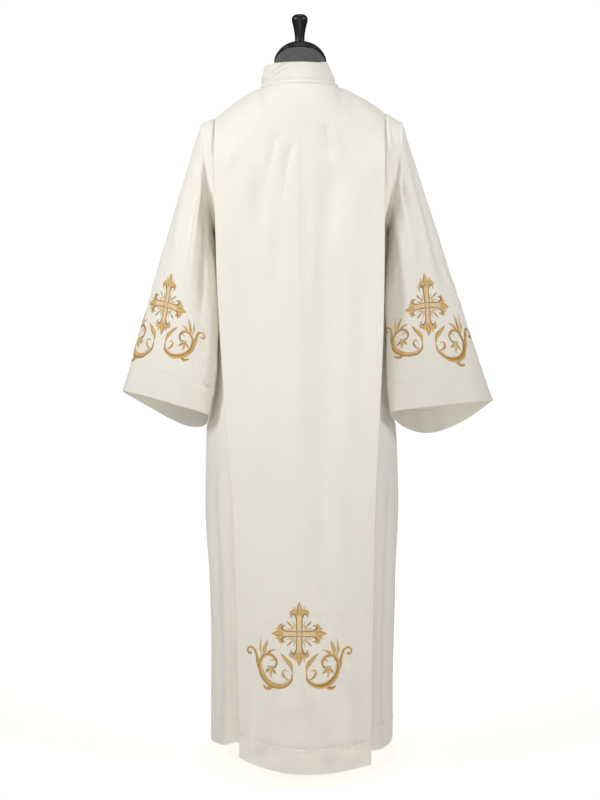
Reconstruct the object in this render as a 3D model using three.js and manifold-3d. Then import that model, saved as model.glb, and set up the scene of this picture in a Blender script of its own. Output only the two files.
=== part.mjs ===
// Alb on a limbless dress form. Millimetres, +Z up, the wearer faces +Y.
// Origin: centre of the underside of the stand's base.
// Every cloth piece is a thin wall between two faces that are worked out
// from the named sizes and the tables below. Left is -X, right is +X.
import * as THREE from 'three';
import { mergeVertices } from 'three/addons/utils/BufferGeometryUtils.js';
import Module from 'manifold-3d';

const wasm = await Module();
wasm.setup();

// ---------------------------------------------------------------- sizes
const CLOTH = 1.6;            // made-up cloth, two layers at the folds
const SEAM = 0.35;            // gap kept between pieces sewn together
const PLEAT_GAP = 3.2;        // from a cloth face to the layer under it
const PLEAT_UNDER = 45;       // how far a pleat turns under
const FOLD_R = (PLEAT_GAP + CLOTH) / 2; // radius of a pleat's fold
const LENGTH = 1440;          // alb, centre back neck to hem
const DROP_EXACT = 300;       // below the shoulder, where the levels follow the seams
const SHOULDER_ROUND = 100;   // drop over which the shoulder turns down
const COLLAR_IN = 1.5;        // how far the collar reaches down inside the neck seam
const SLIT_LENGTH = 380;      // neck opening down the centre front
const SLIT_WIDTH = 1.2;
const PLACKET_WIDTH = 34;
const BASE_R = 140;
const BASE_T = 12;
const POLE_R = 13;
const NECK_TILT = 24.7;       // degrees, the neck's top slopes down to the front

// ---------------------------------------------------------------- tables
const table = (cols, rows) => rows.map(r => Object.fromEntries(cols.map((c, i) => [c, r[i]])));

// smooth curve through a table: value of column `col` where column `key` is x
function curve(rows, key, col) {
  const p = rows.map(r => [r[key], r[col]]).sort((a, b) => a[0] - b[0]);
  const n = p.length, m = [];
  const d = p.slice(1).map((q, i) => (q[1] - p[i][1]) / (q[0] - p[i][0]));
  for (let i = 0; i < n; i++) {
    if (i === 0) m.push(d[0]);
    else if (i === n - 1) m.push(d[n - 2]);
    else m.push(d[i - 1] * d[i] <= 0 ? 0 : 2 * d[i - 1] * d[i] / (d[i - 1] + d[i]));
  }
  return x => {
    if (x <= p[0][0]) return p[0][1];
    if (x >= p[n - 1][0]) return p[n - 1][1];
    let i = 0;
    while (x > p[i + 1][0]) i++;
    const h = p[i + 1][0] - p[i][0], t = (x - p[i][0]) / h, t2 = t * t, t3 = t2 * t;
    return (2 * t3 - 3 * t2 + 1) * p[i][1] + (t3 - 2 * t2 + t) * h * m[i]
      + (3 * t2 - 2 * t3) * p[i + 1][1] + (t3 - t2) * h * m[i + 1];
  };
}

// top edge of the body: neck seam, then the shoulder seam out to each tip
const SHOULDER = table(['x', 'z'], [
  [-212, 1392], [-176, 1410], [-129, 1446], [-83, 1467],
  [0, 1470], [83, 1469], [129, 1449], [163, 1430], [202, 1405], [220, 1395]]);
const NECK = { rx: 82, back: 75, front: 80, y: 5, frontDrop: 52 };
const NECK_COLUMNS = [0, 0.3, 0.58, 0.8, 0.94, 1];     // shares of rx with a column
const SHOULDER_COLUMNS = [0.25, 0.62, 1];              // shares of the rest, out to the fold

// centre panels: folded edges, depth from the side plane at middle and edges
const PANEL_COLS = ['z', 'left', 'right', 'mid', 'edge'];
const BACK_PANEL = table(PANEL_COLS, [
  [1470, -182, 180, 108, 66],
  [1383, -180, 178, 114, 84],
  [1300, -178, 177, 128, 112],
  [1150, -174, 176, 146, 136],
  [1019, -168, 174, 158, 150],
  [800, -155, 166, 178, 170],
  [606, -141, 158, 199, 188],
  [330, -134, 154, 216, 192],
  [30, -129, 151, 232, 190]]);
const FRONT_PANEL = table(PANEL_COLS, [
  [1470, -168, 166, 92, 60],
  [1383, -166, 164, 98, 74],
  [1300, -164, 163, 122, 98],
  [1150, -160, 162, 134, 122],
  [1019, -154, 160, 138, 128],
  [800, -145, 154, 152, 142],
  [606, -134, 148, 168, 156],
  [330, -128, 144, 184, 164],
  [30, -124, 142, 198, 168]]);

// hems: height of the edge at each x
const BACK_HEM = table(['x', 'z'], [[-129, 52], [-84, 41], [0, 31], [60, 30.4], [106, 33.4], [151, 37]]);
const BACK_SIDE_HEM = table(['x', 'z'], [[-205, 38], [-170, 51], [-129, 66], [-84, 41], [106, 33.4], [151, 46], [185, 43], [209, 45]]);
const FRONT_HEM = table(['x', 'z'], [[-124, 50], [-79, 45], [0, 42], [97, 46], [142, 50]]);
const FRONT_SIDE_HEM = table(['x', 'z'], [[-205, 38], [-124, 60], [-79, 45], [97, 46], [142, 60], [209, 45]]);

// sides below the armhole: width to the side seam, how far the side
// panel falls back behind the pleat, and how round the side is
const SIDES = table(['z', 'left', 'right', 'seam_y', 'recess', 'round'], [
  [1150, 186, 192, 10, 12, 1.6],
  [1090, 184.3, 192, 12, 16, 1.6],
  [1019, 183.2, 193, 14, 21, 1.6],
  [900, 184.6, 193, 18, 25, 1.6],
  [820, 189, 194, 30, 27, 1.6],
  [770, 198, 201, 36, 29, 1.6],
  [728, 208, 214, 34, 30, 1.75],
  [571, 211, 219, 18, 32, 1.9],
  [402, 202, 213, 10, 32, 1.9],
  [230, 198, 209, 5, 32, 1.9],
  [30, 201, 208, 0, 30, 1.9]]);

// armholes: centre, half height, lean of the loop, depth to back and front
const ARMHOLE = {
  left: { x: -199, y: 7.5, z: 1271, half: 121, lean: -13, leanY: -2.5, back: 88, front: 78 },
  right: { x: 206, y: 7.5, z: 1273, half: 122, lean: 14, leanY: -2.5, back: 88, front: 78 } };

// sleeves: a row for each ring, from the armhole to the cuff.
// o = outer (upper) line, i = inner (under) line; back and front depth;
// sag = how much lower the front layer hangs; back_up = lift of the back edge
const SAG_SKEW = { left: 0.45, right: 0.15 };   // how far the low point lies to the inner side
const SAG_PEAK = { left: 1, right: 1.6 };       // 1 round, more is pointed
const SLEEVE_COLS = ['row', 'ox', 'oy', 'oz', 'ix', 'iy', 'iz', 'back', 'front', 'sag', 'back_up', 'flat'];
const SLEEVE_LEFT = table(SLEEVE_COLS, [
  [0, -212, 5, 1392, -186, 10, 1150, 88, 78, 0, 0, 2],
  [1, -222, 5, 1366, -187, -2, 1122, 88, 78, 0, 0, 2],
  [2, -246, 5, 1290, -181.5, -28, 1072, 84, 78, 0, 0, 2],
  [3, -277, 7, 1190, -178, -42, 1010, 72, 80, 4, 2, 2],
  [4, -307, 9, 1092, -176.5, -54, 945, 60, 84, 10, 4, 2],
  [5, -337, 11, 990, -177, -66, 882, 50, 90, 18, 6, 2],
  [6, -364, 13, 902, -184, -74, 824, 42, 96, 29, 8, 2],
  [7, -383, 15, 836, -192, -79, 786, 38, 100, 38, 9, 2],
  [8, -391, 15, 812, -196, -80, 770, 37, 100, 46, 9, 2]]);
const SLEEVE_RIGHT = table(SLEEVE_COLS, [
  [0, 220, 5, 1395, 192, 10, 1151, 88, 78, 0, 0, 2],
  [1, 227, 5, 1374, 193.5, -2, 1122, 88, 78, 0, 0, 2],
  [2, 257, 5, 1282, 189, -28, 1072, 84, 78, 0, 0, 2],
  [3, 290, 7, 1184, 187, -42, 1010, 72, 80, 4, 2, 2],
  [4, 325, 9, 1080, 186, -56, 945, 60, 84, 12, 4, 2],
  [5, 359, 11, 980, 185.5, -70, 882, 50, 92, 24, 6, 2],
  [6, 391, 13, 888, 188, -83, 828, 40, 102, 42, 8, 2],
  [7, 417, 15, 814, 191, -91, 791, 34, 110, 56, 8, 2],
  [8, 426, 15, 790, 192, -93, 778, 32, 112, 70, 8, 2]]);

// collar: base and top rings at four sides
const COLLAR = {
  top: { left: -76, right: 60, back: -62, front: 68, zLeft: 1514, zBack: 1516, zRight: 1521, zFront: 1462 } };

// dress form: level, half width, depth to back and front, tilt of the level
const FORM = table(['z', 'half', 'back', 'front', 'tilt', 'square'], [
  [878, 128, 78, 70, 0, 2.2],
  [884, 142, 86, 78, 0, 2.2],
  [900, 148, 90, 82, 0, 2.2],
  [960, 150, 92, 84, 0, 2.2],
  [1050, 126, 84, 80, 0, 2.2],
  [1150, 140, 96, 92, 0, 2.2],
  [1230, 156, 100, 98, 0, 2.3],
  [1300, 168, 92, 88, 0, 2.4],
  [1350, 176, 76, 70, 0, 2.3],
  [1380, 168, 62, 56, 0, 2.2],
  [1400, 146, 58, 54, 0, 2.1],
  [1420, 120, 56, 52, 0, 2],
  [1438, 92, 56, 50, 0, 2],
  [1455, 66, 56, 48, 6, 2],
  [1475, 56, 55, 47, 14, 2],
  [1521, 53.5, 54, 46, NECK_TILT, 2]]);

// ---------------------------------------------------------------- cloth surfaces
const shoulderZ = curve(SHOULDER, 'x', 'z');
const mix = (a, b, t) => a + (b - a) * t;
const clamp = (v, a, b) => Math.min(b, Math.max(a, v));
const smooth = (a, b, v) => { const t = clamp((v - a) / (b - a), 0, 1); return t * t * (3 - 2 * t); };

function body(side) {                      // side: -1 back, +1 front
  const rows = side < 0 ? BACK_PANEL : FRONT_PANEL;
  const c = Object.fromEntries(['left', 'right', 'mid', 'edge'].map(k => [k, curve(rows, 'z', k)]));
  const s = Object.fromEntries(['left', 'right', 'seam_y', 'recess', 'round'].map(k => [k, curve(SIDES, 'z', k)]));
  const hem = curve(side < 0 ? BACK_HEM : FRONT_HEM, 'x', 'z');
  const sideHem = curve(side < 0 ? BACK_SIDE_HEM : FRONT_SIDE_HEM, 'x', 'z');
  const ring = x => Math.sqrt(Math.max(0, 1 - (x / NECK.rx) ** 2));
  const topZ = x => shoulderZ(x) - (side > 0 ? NECK.frontDrop * ring(x) : 0);
  const topY = x => NECK.y + side * (side < 0 ? NECK.back : NECK.front) * ring(x);
  const level = (x, d, hemAt) => topZ(x) - d
    - (topZ(x) - LENGTH - hemAt(x)) * clamp((d - DROP_EXACT) / (LENGTH - DROP_EXACT), 0, 1);
  const outer = (hand, d) => {             // armhole, then side seam
    const a = ARMHOLE[hand], top = a.z + a.half;
    if (d < 2 * a.half) {
      const k = clamp((top - d - a.z) / a.half, -1, 1);
      return [a.x + a.lean * k, a.y + a.leanY * k + side * (side < 0 ? a.back : a.front) * Math.sqrt(1 - k * k), top - d];
    }
    const sgn = hand === 'left' ? -1 : 1;
    let x = sgn * s[hand](top - d), z = level(x, d + (topZ(x) - top), sideHem);
    x = sgn * s[hand](z);
    z = level(x, d + (topZ(x) - top), sideHem);
    return [x, s.seam_y(z), z];
  };
  const nominal = d => level(0, d + (topZ(0) - shoulderZ(0)), hem);
  const edgeX = (hand, d) => c[hand](nominal(d));
  const y = (x, z) => {                    // depth of the panel at a level
    const e = x < 0 ? c.left(z) : c.right(z);
    return side * mix(c.mid(z), c.edge(z), Math.min(1, (x / e) ** 2));
  };
  const turned = d => Math.sqrt(1 - (1 - clamp(d / SHOULDER_ROUND, 0, 1)) ** 2);
  // panel surface; beyond the folds it runs on to the armhole
  const on = (x, d, hemAt) => {
    const z = level(x, d, hemAt);
    let full = y(x, z);
    const hand = x < 0 ? 'left' : 'right', e = edgeX(hand, d), o = outer(hand, Math.max(d, 0))[0];
    if (Math.abs(x) > Math.abs(e) && Math.abs(o) > Math.abs(e)) {
      const a = ARMHOLE[hand], f = side < 0 ? a.back : a.front;
      full = mix(full, mix(NECK.y + side * f, full, smooth(200, 420, d)), smooth(0, 1, (x - e) / (o - e)));
    }
    return [x, mix(topY(x), full, turned(d)), z];
  };
  const point = (x, off, d, hemAt = hem) => {   // `off` mm under the surface
    const e = 0.6, p = on(x, d, hemAt);
    if (off === 0) return p;
    const a = on(x + e, d, hemAt), b = on(x - e, d, hemAt), u = on(x, d + e, hemAt), v = on(x, Math.max(0, d - e), hemAt);
    const n = new THREE.Vector3(a[0] - b[0], a[1] - b[1], a[2] - b[2])
      .cross(new THREE.Vector3(u[0] - v[0], u[1] - v[1], u[2] - v[2])).normalize();
    if (side > 0) n.negate();              // now points into the garment
    if (d < 1) { n.y = 0; if (Math.abs(x) < NECK.rx + 1) n.set(0, 0, -1); n.normalize(); } // walls end square at a seam
    return [p[0] + n.x * off, p[1] + n.y * off, p[2] + n.z * off];
  };
  return { side, c, s, hem, sideHem, level, outer, edgeX, point, topY, topZ };
}
const back = body(-1), front = body(1);

// drops below the shoulder at which every panel has a row
const DROPS = [0, 4, 14, 30, 52, 76, 100, 140, 190, 242, 300, 410, 540, 680, 830, 990, 1150, 1300, LENGTH];

// ---------------------------------------------------------------- walls
function solid(positions, index) {
  const g = new THREE.BufferGeometry(), P = i => positions.slice(3 * i, 3 * i + 3);
  let volume = 0;
  for (let k = 0; k < index.length; k += 3) {
    const [a, b, c] = [P(index[k]), P(index[k + 1]), P(index[k + 2])];
    volume += a[0] * (b[1] * c[2] - b[2] * c[1]) + a[1] * (b[2] * c[0] - b[0] * c[2]) + a[2] * (b[0] * c[1] - b[1] * c[0]);
  }
  if (volume < 0) for (let k = 0; k < index.length; k += 3) [index[k + 1], index[k + 2]] = [index[k + 2], index[k + 1]];
  g.setAttribute('position', new THREE.Float32BufferAttribute(positions, 3));
  g.setIndex(index);
  return g;
}
// wall between two grids of points, outer face A and inner face B, [row][column]
function wall(A, B, loop = false) {
  const nr = A.length, nc = A[0].length, pos = [], idx = [];
  [A, B].forEach(G => G.forEach(r => r.forEach(p => pos.push(...p))));
  const a = (i, j) => i * nc + (j % nc), b = (i, j) => nr * nc + a(i, j);
  const quad = (p, q, r, s) => idx.push(p, q, r, p, r, s);
  const last = loop ? nc : nc - 1;
  for (let i = 0; i < nr - 1; i++) for (let j = 0; j < last; j++) {
    quad(a(i, j), a(i + 1, j), a(i + 1, j + 1), a(i, j + 1));
    quad(b(i, j), b(i, j + 1), b(i + 1, j + 1), b(i + 1, j));
  }
  for (let j = 0; j < last; j++) {
    quad(a(0, j), a(0, j + 1), b(0, j + 1), b(0, j));
    quad(a(nr - 1, j), b(nr - 1, j), b(nr - 1, j + 1), a(nr - 1, j + 1));
  }
  if (!loop) for (let i = 0; i < nr - 1; i++) {
    quad(a(i, 0), b(i, 0), b(i + 1, 0), a(i + 1, 0));
    quad(a(i, nc - 1), a(i + 1, nc - 1), b(i + 1, nc - 1), b(i, nc - 1));
  }
  return solid(pos, idx);
}

// centre panel: flat between its folds, then round each fold and under
function centrePanel(bd) {
  const topL = -bd.edgeX('left', 0) - FOLD_R, topR = bd.edgeX('right', 0) - FOLD_R;
  const share = top => [...NECK_COLUMNS.slice(1).map(k => k * NECK.rx), ...SHOULDER_COLUMNS.map(k => mix(NECK.rx, top, k))].map(x => x / top);
  const shareL = share(topL).reverse(), shareR = share(topR);
  const A = [], B = [];
  for (const d of DROPS) {
    const l = bd.edgeX('left', d), r = bd.edgeX('right', d), ra = [], rb = [];
    const at = (row, x, off) => row.push(bd.point(x, off, d));
    const turn = (x0, dir) => {           // points round the fold, from panel to return
      const out = [];
      for (let k = 1; k <= 3; k++) out.push([Math.PI * k / 4]);
      return out.map(([t]) => [x0 + dir * Math.sin(t), 1 - Math.cos(t)]);
    };
    const half = (x0, dir) => {           // return under the fold, seam end first
      const inX = x0 - dir * PLEAT_UNDER;
      const aPts = [[inX, 2 * FOLD_R], [x0 - dir * PLEAT_UNDER / 2, 2 * FOLD_R], [x0 - dir * FOLD_R, 2 * FOLD_R]];
      const bPts = [[inX, PLEAT_GAP], [x0 - dir * PLEAT_UNDER / 2, PLEAT_GAP], [x0 - dir * FOLD_R, PLEAT_GAP]];
      const cx = x0 - dir * FOLD_R;
      for (const [sx, of] of turn(0, 1).reverse()) {
        aPts.push([cx + dir * sx * FOLD_R, of * FOLD_R]);
        bPts.push([cx + dir * sx * (FOLD_R - CLOTH), CLOTH + of * (FOLD_R - CLOTH)]);
      }
      return [aPts, bPts];
    };
    const [la, lb] = half(l, -1), [rA, rB] = half(r, 1);
    la.forEach(([x, o], i) => { at(ra, x, o); at(rb, ...lb[i]); });
    const flat = [...shareL.map(k => k * (l + FOLD_R)), 0, ...shareR.map(k => k * (r - FOLD_R))];
    for (const x of flat) { at(ra, x, 0); at(rb, x, CLOTH); }
    rA.reverse(); rB.reverse();
    rA.forEach(([x, o], i) => { at(ra, x, o); at(rb, ...rB[i]); });
    A.push(ra); B.push(rb);
  }
  return wall(A, B);
}

// side panel: from the seam hidden inside the pleat out to armhole and side seam
const SIDE_COLS = [0, 0.07, 0.18, 0.34, 0.5, 0.64, 0.77, 0.88, 0.96, 1];
function sidePoint(bd, hand, w, d, extra) {
  const sgn = hand === 'left' ? -1 : 1;
  const out = bd.outer(hand, d);
  const inX = bd.edgeX(hand, d) - sgn * PLEAT_UNDER, shadow = PLEAT_UNDER / Math.abs(out[0] - inX);
  const x = mix(inX, out[0], w);
  const start = 2 * FOLD_R + SEAM + 0.45 * smooth(300, 1000, d) + 0.25;
  const lay = mix(start, 2 * PLEAT_GAP + 1.2, smooth(0, 0.07, w)) * (1 - smooth(Math.min(0.82, shadow), 1, w)) + extra;
  const onTop = bd.point(x, lay, d, bd.sideHem);
  const first = bd.point(inX, start + extra, d, bd.sideHem);
  const z = bd.level(x, d, bd.sideHem);
  const zr = clamp(z, 30, 1150), p = bd.s.round(zr);
  const recess = bd.s.recess(zr) * smooth(0, Math.max(0.2, shadow * 0.9), w);
  const rise = 1 - Math.pow(Math.max(0, 1 - Math.pow(w, p)), 1 / p);
  const dir = -bd.side, outY = out[1] + dir * extra * 0.5;
  const base = mix(onTop[1], first[1], smooth(shadow, 1, w) * smooth(200, 420, d));
  const direct = [x, (base + dir * recess) * (1 - rise) + outY * rise, mix(onTop[2], z, smooth(60, 140, d))];
  const k = smooth(60, 170, d);
  return [mix(onTop[0], direct[0], k), mix(onTop[1], direct[1], k), mix(onTop[2], direct[2], k)];
}
function sidePanel(bd, hand) {
  const sgn = hand === 'left' ? -1 : 1, A = [], B = [];
  for (const d of DROPS) {
    const ra = SIDE_COLS.map(w => sidePoint(bd, hand, w, d, 0));
    const rb = SIDE_COLS.map((w, i) => {       // inner face, square to the outer one in plan
      const q = ra[Math.min(i + 1, ra.length - 1)], p0 = ra[Math.max(i - 1, 0)];
      const tx = q[0] - p0[0], ty = q[1] - p0[1], l = Math.hypot(tx, ty) || 1;
      const nx = -sgn * ty / l * bd.side * -1, ny = sgn * tx / l * bd.side * -1;
      const top = sidePoint(bd, hand, w, d, CLOTH), k = smooth(60, 170, d);
      const sgnY = Math.sign(ny) === -bd.side ? 1 : -1;
      const plan = [ra[i][0] + nx * CLOTH * sgnY, ra[i][1] + ny * CLOTH * sgnY, ra[i][2]];
      return [mix(top[0], plan[0], k), mix(top[1], plan[1], k), mix(top[2], plan[2], k)];
    });
    if (sgn < 0) { ra.reverse(); rb.reverse(); }
    A.push(ra); B.push(rb);
  }
  // the side seam: front and back panels end a hair apart
  const trim = (G) => G.forEach((r, i) => {
    const p = r[sgn < 0 ? 0 : r.length - 1];
    if (DROPS[i] >= 242) p[1] += bd.side * SEAM / 2;
  });
  trim(A); trim(B);
  return wall(A, B);
}

// one hair of room at the shoulder seam between front and back
const seamShift = (geometry, dy) => { geometry.translate(0, dy, 0); return geometry; };

// ---------------------------------------------------------------- sleeves
const RING = 22;              // points round a sleeve
const SLEEVE_STEPS = 12;      // rows down a sleeve
function sleeve(rows, hand) {
  const c = Object.fromEntries(SLEEVE_COLS.slice(1).map(k => [k, curve(rows, 'row', k)]));
  const sgn = hand === 'left' ? -1 : 1;
  const at = (t, a) => {
    const o = [c.ox(t), c.oy(t), c.oz(t)], i = [c.ix(t), c.iy(t), c.iz(t)];
    const co = Math.cos(a), si = Math.sin(a), p = 2 / c.flat(t);
    const cc = Math.sign(co) * Math.pow(Math.abs(co), p), ss = Math.sign(si) * Math.pow(Math.abs(si), p);
    const y = ss > 0 ? -c.back(t) * ss : -c.front(t) * ss;
    const lift = ss > 0 ? c.back_up(t) * ss : -c.sag(t) * Math.pow(-ss, SAG_PEAK[hand]) * (1 - SAG_SKEW[hand] * cc);
    return [(o[0] + i[0]) / 2 + (o[0] - i[0]) / 2 * cc, (o[1] + i[1]) / 2 + (o[1] - i[1]) / 2 * cc + y,
      (o[2] + i[2]) / 2 + (o[2] - i[2]) / 2 * cc + lift];
  };
  const A = [], B = [], T = rows.length - 1;
  for (let k = 0; k <= SLEEVE_STEPS; k++) {
    const t = T * k / SLEEVE_STEPS, ra = [], rb = [];
    for (let j = 0; j < RING; j++) {
      const a = 2 * Math.PI * j / RING, e = 0.02;
      const p = at(t, a), t0 = Math.max(0, t - 0.1), t1 = Math.min(T, t + 0.1);
      const u = new THREE.Vector3(...at(t, a + e)).sub(new THREE.Vector3(...at(t, a - e)));
      const v = new THREE.Vector3(...at(t1, a)).sub(new THREE.Vector3(...at(t0, a)));
      const n = u.cross(v).normalize();
      const m = [0, 1, 2].map(q => (at(t, 0)[q] + at(t, Math.PI)[q]) / 2);
      if (n.x * (m[0] - p[0]) + n.y * (m[1] - p[1]) + n.z * (m[2] - p[2]) < 0) n.negate();
      if (k === 0) n.x = Math.abs(n.x) * sgn * 0.3;   // the first ring stays outside the armhole
      n.normalize();
      const shift = SEAM * sgn;
      ra.push([p[0] + shift, p[1], p[2]]);
      rb.push([p[0] + n.x * CLOTH + shift, p[1] + n.y * CLOTH, p[2] + n.z * CLOTH]);
    }
    A.push(ra); B.push(rb);
  }
  return wall(A, B, true);
}

// ---------------------------------------------------------------- collar
function collar() {
  const t = COLLAR.top, A = [], B = [], gap = 0.8;   // the ends stand a hair apart in front
  const right = NECK_COLUMNS.map(k => Math.asin(k));
  const quarter = [...right, ...right.slice(0, -1).reverse().map(a => Math.PI - a)];
  const angles = [...quarter, ...quarter.slice(0, -1).reverse().map(a => 2 * Math.PI - a)];
  angles[0] = gap / NECK.rx; angles[angles.length - 1] = 2 * Math.PI - gap / NECK.rx;
  for (const h of [-1, 0.33, 0.66, 1]) {
    const ra = [], rb = [];
    for (const a of angles) {             // 0 at the centre front, then through the right side
      const s = Math.sin(a), c = Math.cos(a);
      const x = NECK.rx * s, bd = c < 0 ? back : front;
      const bottom = [x - s * SEAM, bd.topY(x) - c * SEAM, bd.topZ(x)];
      const rim = [s > 0 ? t.right * s : -t.left * s, c > 0 ? NECK.y + (t.front - NECK.y) * c : NECK.y - (t.back - NECK.y) * c];
      const ends = s > 0 ? t.zRight : t.zLeft;
      const top = c < 0 ? mix(ends, t.zBack, c * c) : mix(ends, t.zFront, smooth(0, 1, c));
      const k = Math.max(0, h);
      const p = [mix(bottom[0], rim[0], k), mix(bottom[1], rim[1], k), h < 0 ? bottom[2] - COLLAR_IN : mix(bottom[2], top, k)];
      const l = Math.hypot(s, c);
      ra.push(p);
      rb.push([p[0] - s / l * CLOTH, p[1] - c / l * CLOTH, p[2]]);
    }
    A.push(ra); B.push(rb);
  }
  return wall(A, B);
}

// ---------------------------------------------------------------- booleans
function toManifold(g) {
  const m = mergeVertices(g.index ? g : g, 1e-4);
  return new wasm.Manifold(new wasm.Mesh({ numProp: 3, vertProperties: new Float32Array(m.attributes.position.array), triVerts: new Uint32Array(m.index.array) }));
}
function fromManifold(m) {
  const r = m.getMesh();
  return solid(Array.from(r.vertProperties), Array.from(r.triVerts));
}
const bare = g => { g.deleteAttribute('normal'); g.deleteAttribute('uv'); return g; };

function frontCentre() {
  const panel = centrePanel(front);
  const slit = bare(new THREE.BoxGeometry(SLIT_WIDTH, 90, 700));
  slit.translate(0, 110, front.topZ(0) - SLIT_LENGTH + 350);
  return fromManifold(toManifold(panel).subtract(toManifold(slit)));
}
// strip over the slit, its points are the panel's own, moved out
function placket() {
  const A = [], B = [], off = -(SEAM + CLOTH);
  for (const d of [1.5, 14, 30, 52, 76, 100, 140, 190, 242, 300, SLIT_LENGTH + 16]) {
    const xs = [-0.35, 0, 0.35, 0.65].map(f => f * PLACKET_WIDTH);
    const ra = xs.map(x => front.point(x, off - 0.15, d)), rb = xs.map(x => front.point(x, -SEAM - 0.15, d));
    A.push(ra); B.push(rb);
  }
  return wall(A, B);
}

// ---------------------------------------------------------------- dress form
function torso() {
  const N = 28, pos = [], idx = [];
  const col = Object.fromEntries(['half', 'back', 'front', 'tilt', 'square'].map(k => [k, curve(FORM, 'z', k)]));
  const levels = FORM.map(r => r.z);
  levels.forEach(z => {
    const q = 2 / col.square(z), tan = Math.tan(col.tilt(z) * Math.PI / 180);
    for (let j = 0; j < N; j++) {
      const a = 2 * Math.PI * j / N, c = Math.cos(a), s = Math.sin(a);
      const x = col.half(z) * Math.sign(c) * Math.abs(c) ** q;
      const y = (s > 0 ? col.front(z) : col.back(z)) * Math.sign(s) * Math.abs(s) ** q;
      pos.push(x, y - 4, z - y * tan);
    }
  });
  const m = levels.length;
  pos.push(0, -4, levels[0], 0, -4, levels[m - 1]);
  for (let i = 0; i < m - 1; i++) for (let j = 0; j < N; j++) {
    const k = (j + 1) % N, a = i * N + j, b = i * N + k, c = a + N, d = b + N;
    idx.push(a, b, d, a, d, c);
  }
  for (let j = 0; j < N; j++) {
    const k = (j + 1) % N;
    idx.push(m * N, k, j, m * N + 1, (m - 1) * N + j, (m - 1) * N + k);
  }
  return solid(pos, idx);
}
const lathe = (pts, seg) => mergeVertices(bare(new THREE.LatheGeometry(pts.map(([r, z]) => new THREE.Vector2(r, z)), seg)).rotateX(Math.PI / 2), 1e-4);

// ---------------------------------------------------------------- assembly
const CLOTH_LOOK = { color: 0xefeae0, roughness: 0.72, metalness: 0 };
const FABRIC_LOOK = { color: 0x4b4a4b, roughness: 0.9, metalness: 0 };
const GLOSS_LOOK = { color: 0x15181a, roughness: 0.25, metalness: 0 };
const METAL_LOOK = { color: 0x2a2c2d, roughness: 0.4, metalness: 0.6 };

const alb = new THREE.Group();
function add(name, geometry, look) {
  const g = geometry.index ? geometry : mergeVertices(geometry);
  g.computeVertexNormals();
  const mesh = new THREE.Mesh(g, new THREE.MeshStandardMaterial(look));
  mesh.name = name;
  mesh.material.side = THREE.FrontSide;
  alb.add(mesh);
  return mesh;
}

const HAIR = SEAM / 2;
add('back_centre', seamShift(centrePanel(back), -HAIR), CLOTH_LOOK);
add('back_left', seamShift(sidePanel(back, 'left'), -HAIR), CLOTH_LOOK);
add('back_right', seamShift(sidePanel(back, 'right'), -HAIR), CLOTH_LOOK);
add('front_centre', seamShift(frontCentre(), HAIR), CLOTH_LOOK);
add('front_left', seamShift(sidePanel(front, 'left'), HAIR), CLOTH_LOOK);
add('front_right', seamShift(sidePanel(front, 'right'), HAIR), CLOTH_LOOK);
add('front_placket', seamShift(placket(), HAIR), CLOTH_LOOK);
add('collar', collar(), CLOTH_LOOK);
add('sleeve_left', sleeve(SLEEVE_LEFT, 'left'), CLOTH_LOOK);
add('sleeve_right', sleeve(SLEEVE_RIGHT, 'right'), CLOTH_LOOK);

add('form_torso', torso(), FABRIC_LOOK);

// cap on the sloping top of the neck
const neck = new THREE.Group();
neck.position.set(0.5, -4, 1521.4);
neck.rotation.x = -NECK_TILT * Math.PI / 180;
alb.add(neck);
const CAP_DOME = table(['r', 'z'], [[0, 0], [54.5, 0], [56, 1.5], [56, 6], [54.5, 9.5], [49, 19], [40, 28], [28, 34.5], [14, 38], [0, 39]]);
const cap = add('form_cap', lathe(CAP_DOME.map(r => [r.r, r.z]), 32), GLOSS_LOOK);
alb.remove(cap); neck.add(cap);

// turned finial: foot bedded on the cap, waist, flared head
const FINIAL = table(['r', 'z'], [[0, -14], [12.5, -14], [12.5, 1], [10.8, 5], [10.6, 14], [11.8, 26], [14.4, 40], [17, 50], [17.4, 55], [15.5, 60.5], [9.5, 64.5], [0, 66]]);
const stem = lathe(FINIAL.map(r => [r.r, r.z]), 24);
stem.translate(-0.6, 6, 1558);
const grown = lathe(CAP_DOME.map((r, i) => [r.r ? r.r + SEAM : 0, i < 2 ? r.z - SEAM : r.z + SEAM]), 32);
grown.rotateX(-NECK_TILT * Math.PI / 180).translate(0.5, -4, 1521.4);
add('form_finial', fromManifold(toManifold(stem).subtract(toManifold(grown))), GLOSS_LOOK);

const pole = add('form_pole', lathe([[0, 0], [POLE_R, 0], [POLE_R, 878 - BASE_T - 0.6], [0, 878 - BASE_T - 0.6]], 16), METAL_LOOK);
pole.position.set(0, -4, BASE_T + 0.3);
add('form_base', lathe([[0, 0], [BASE_R, 0], [BASE_R, BASE_T - 4], [BASE_R - 5, BASE_T], [0, BASE_T]], 40), METAL_LOOK);

export default alb;
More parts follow.
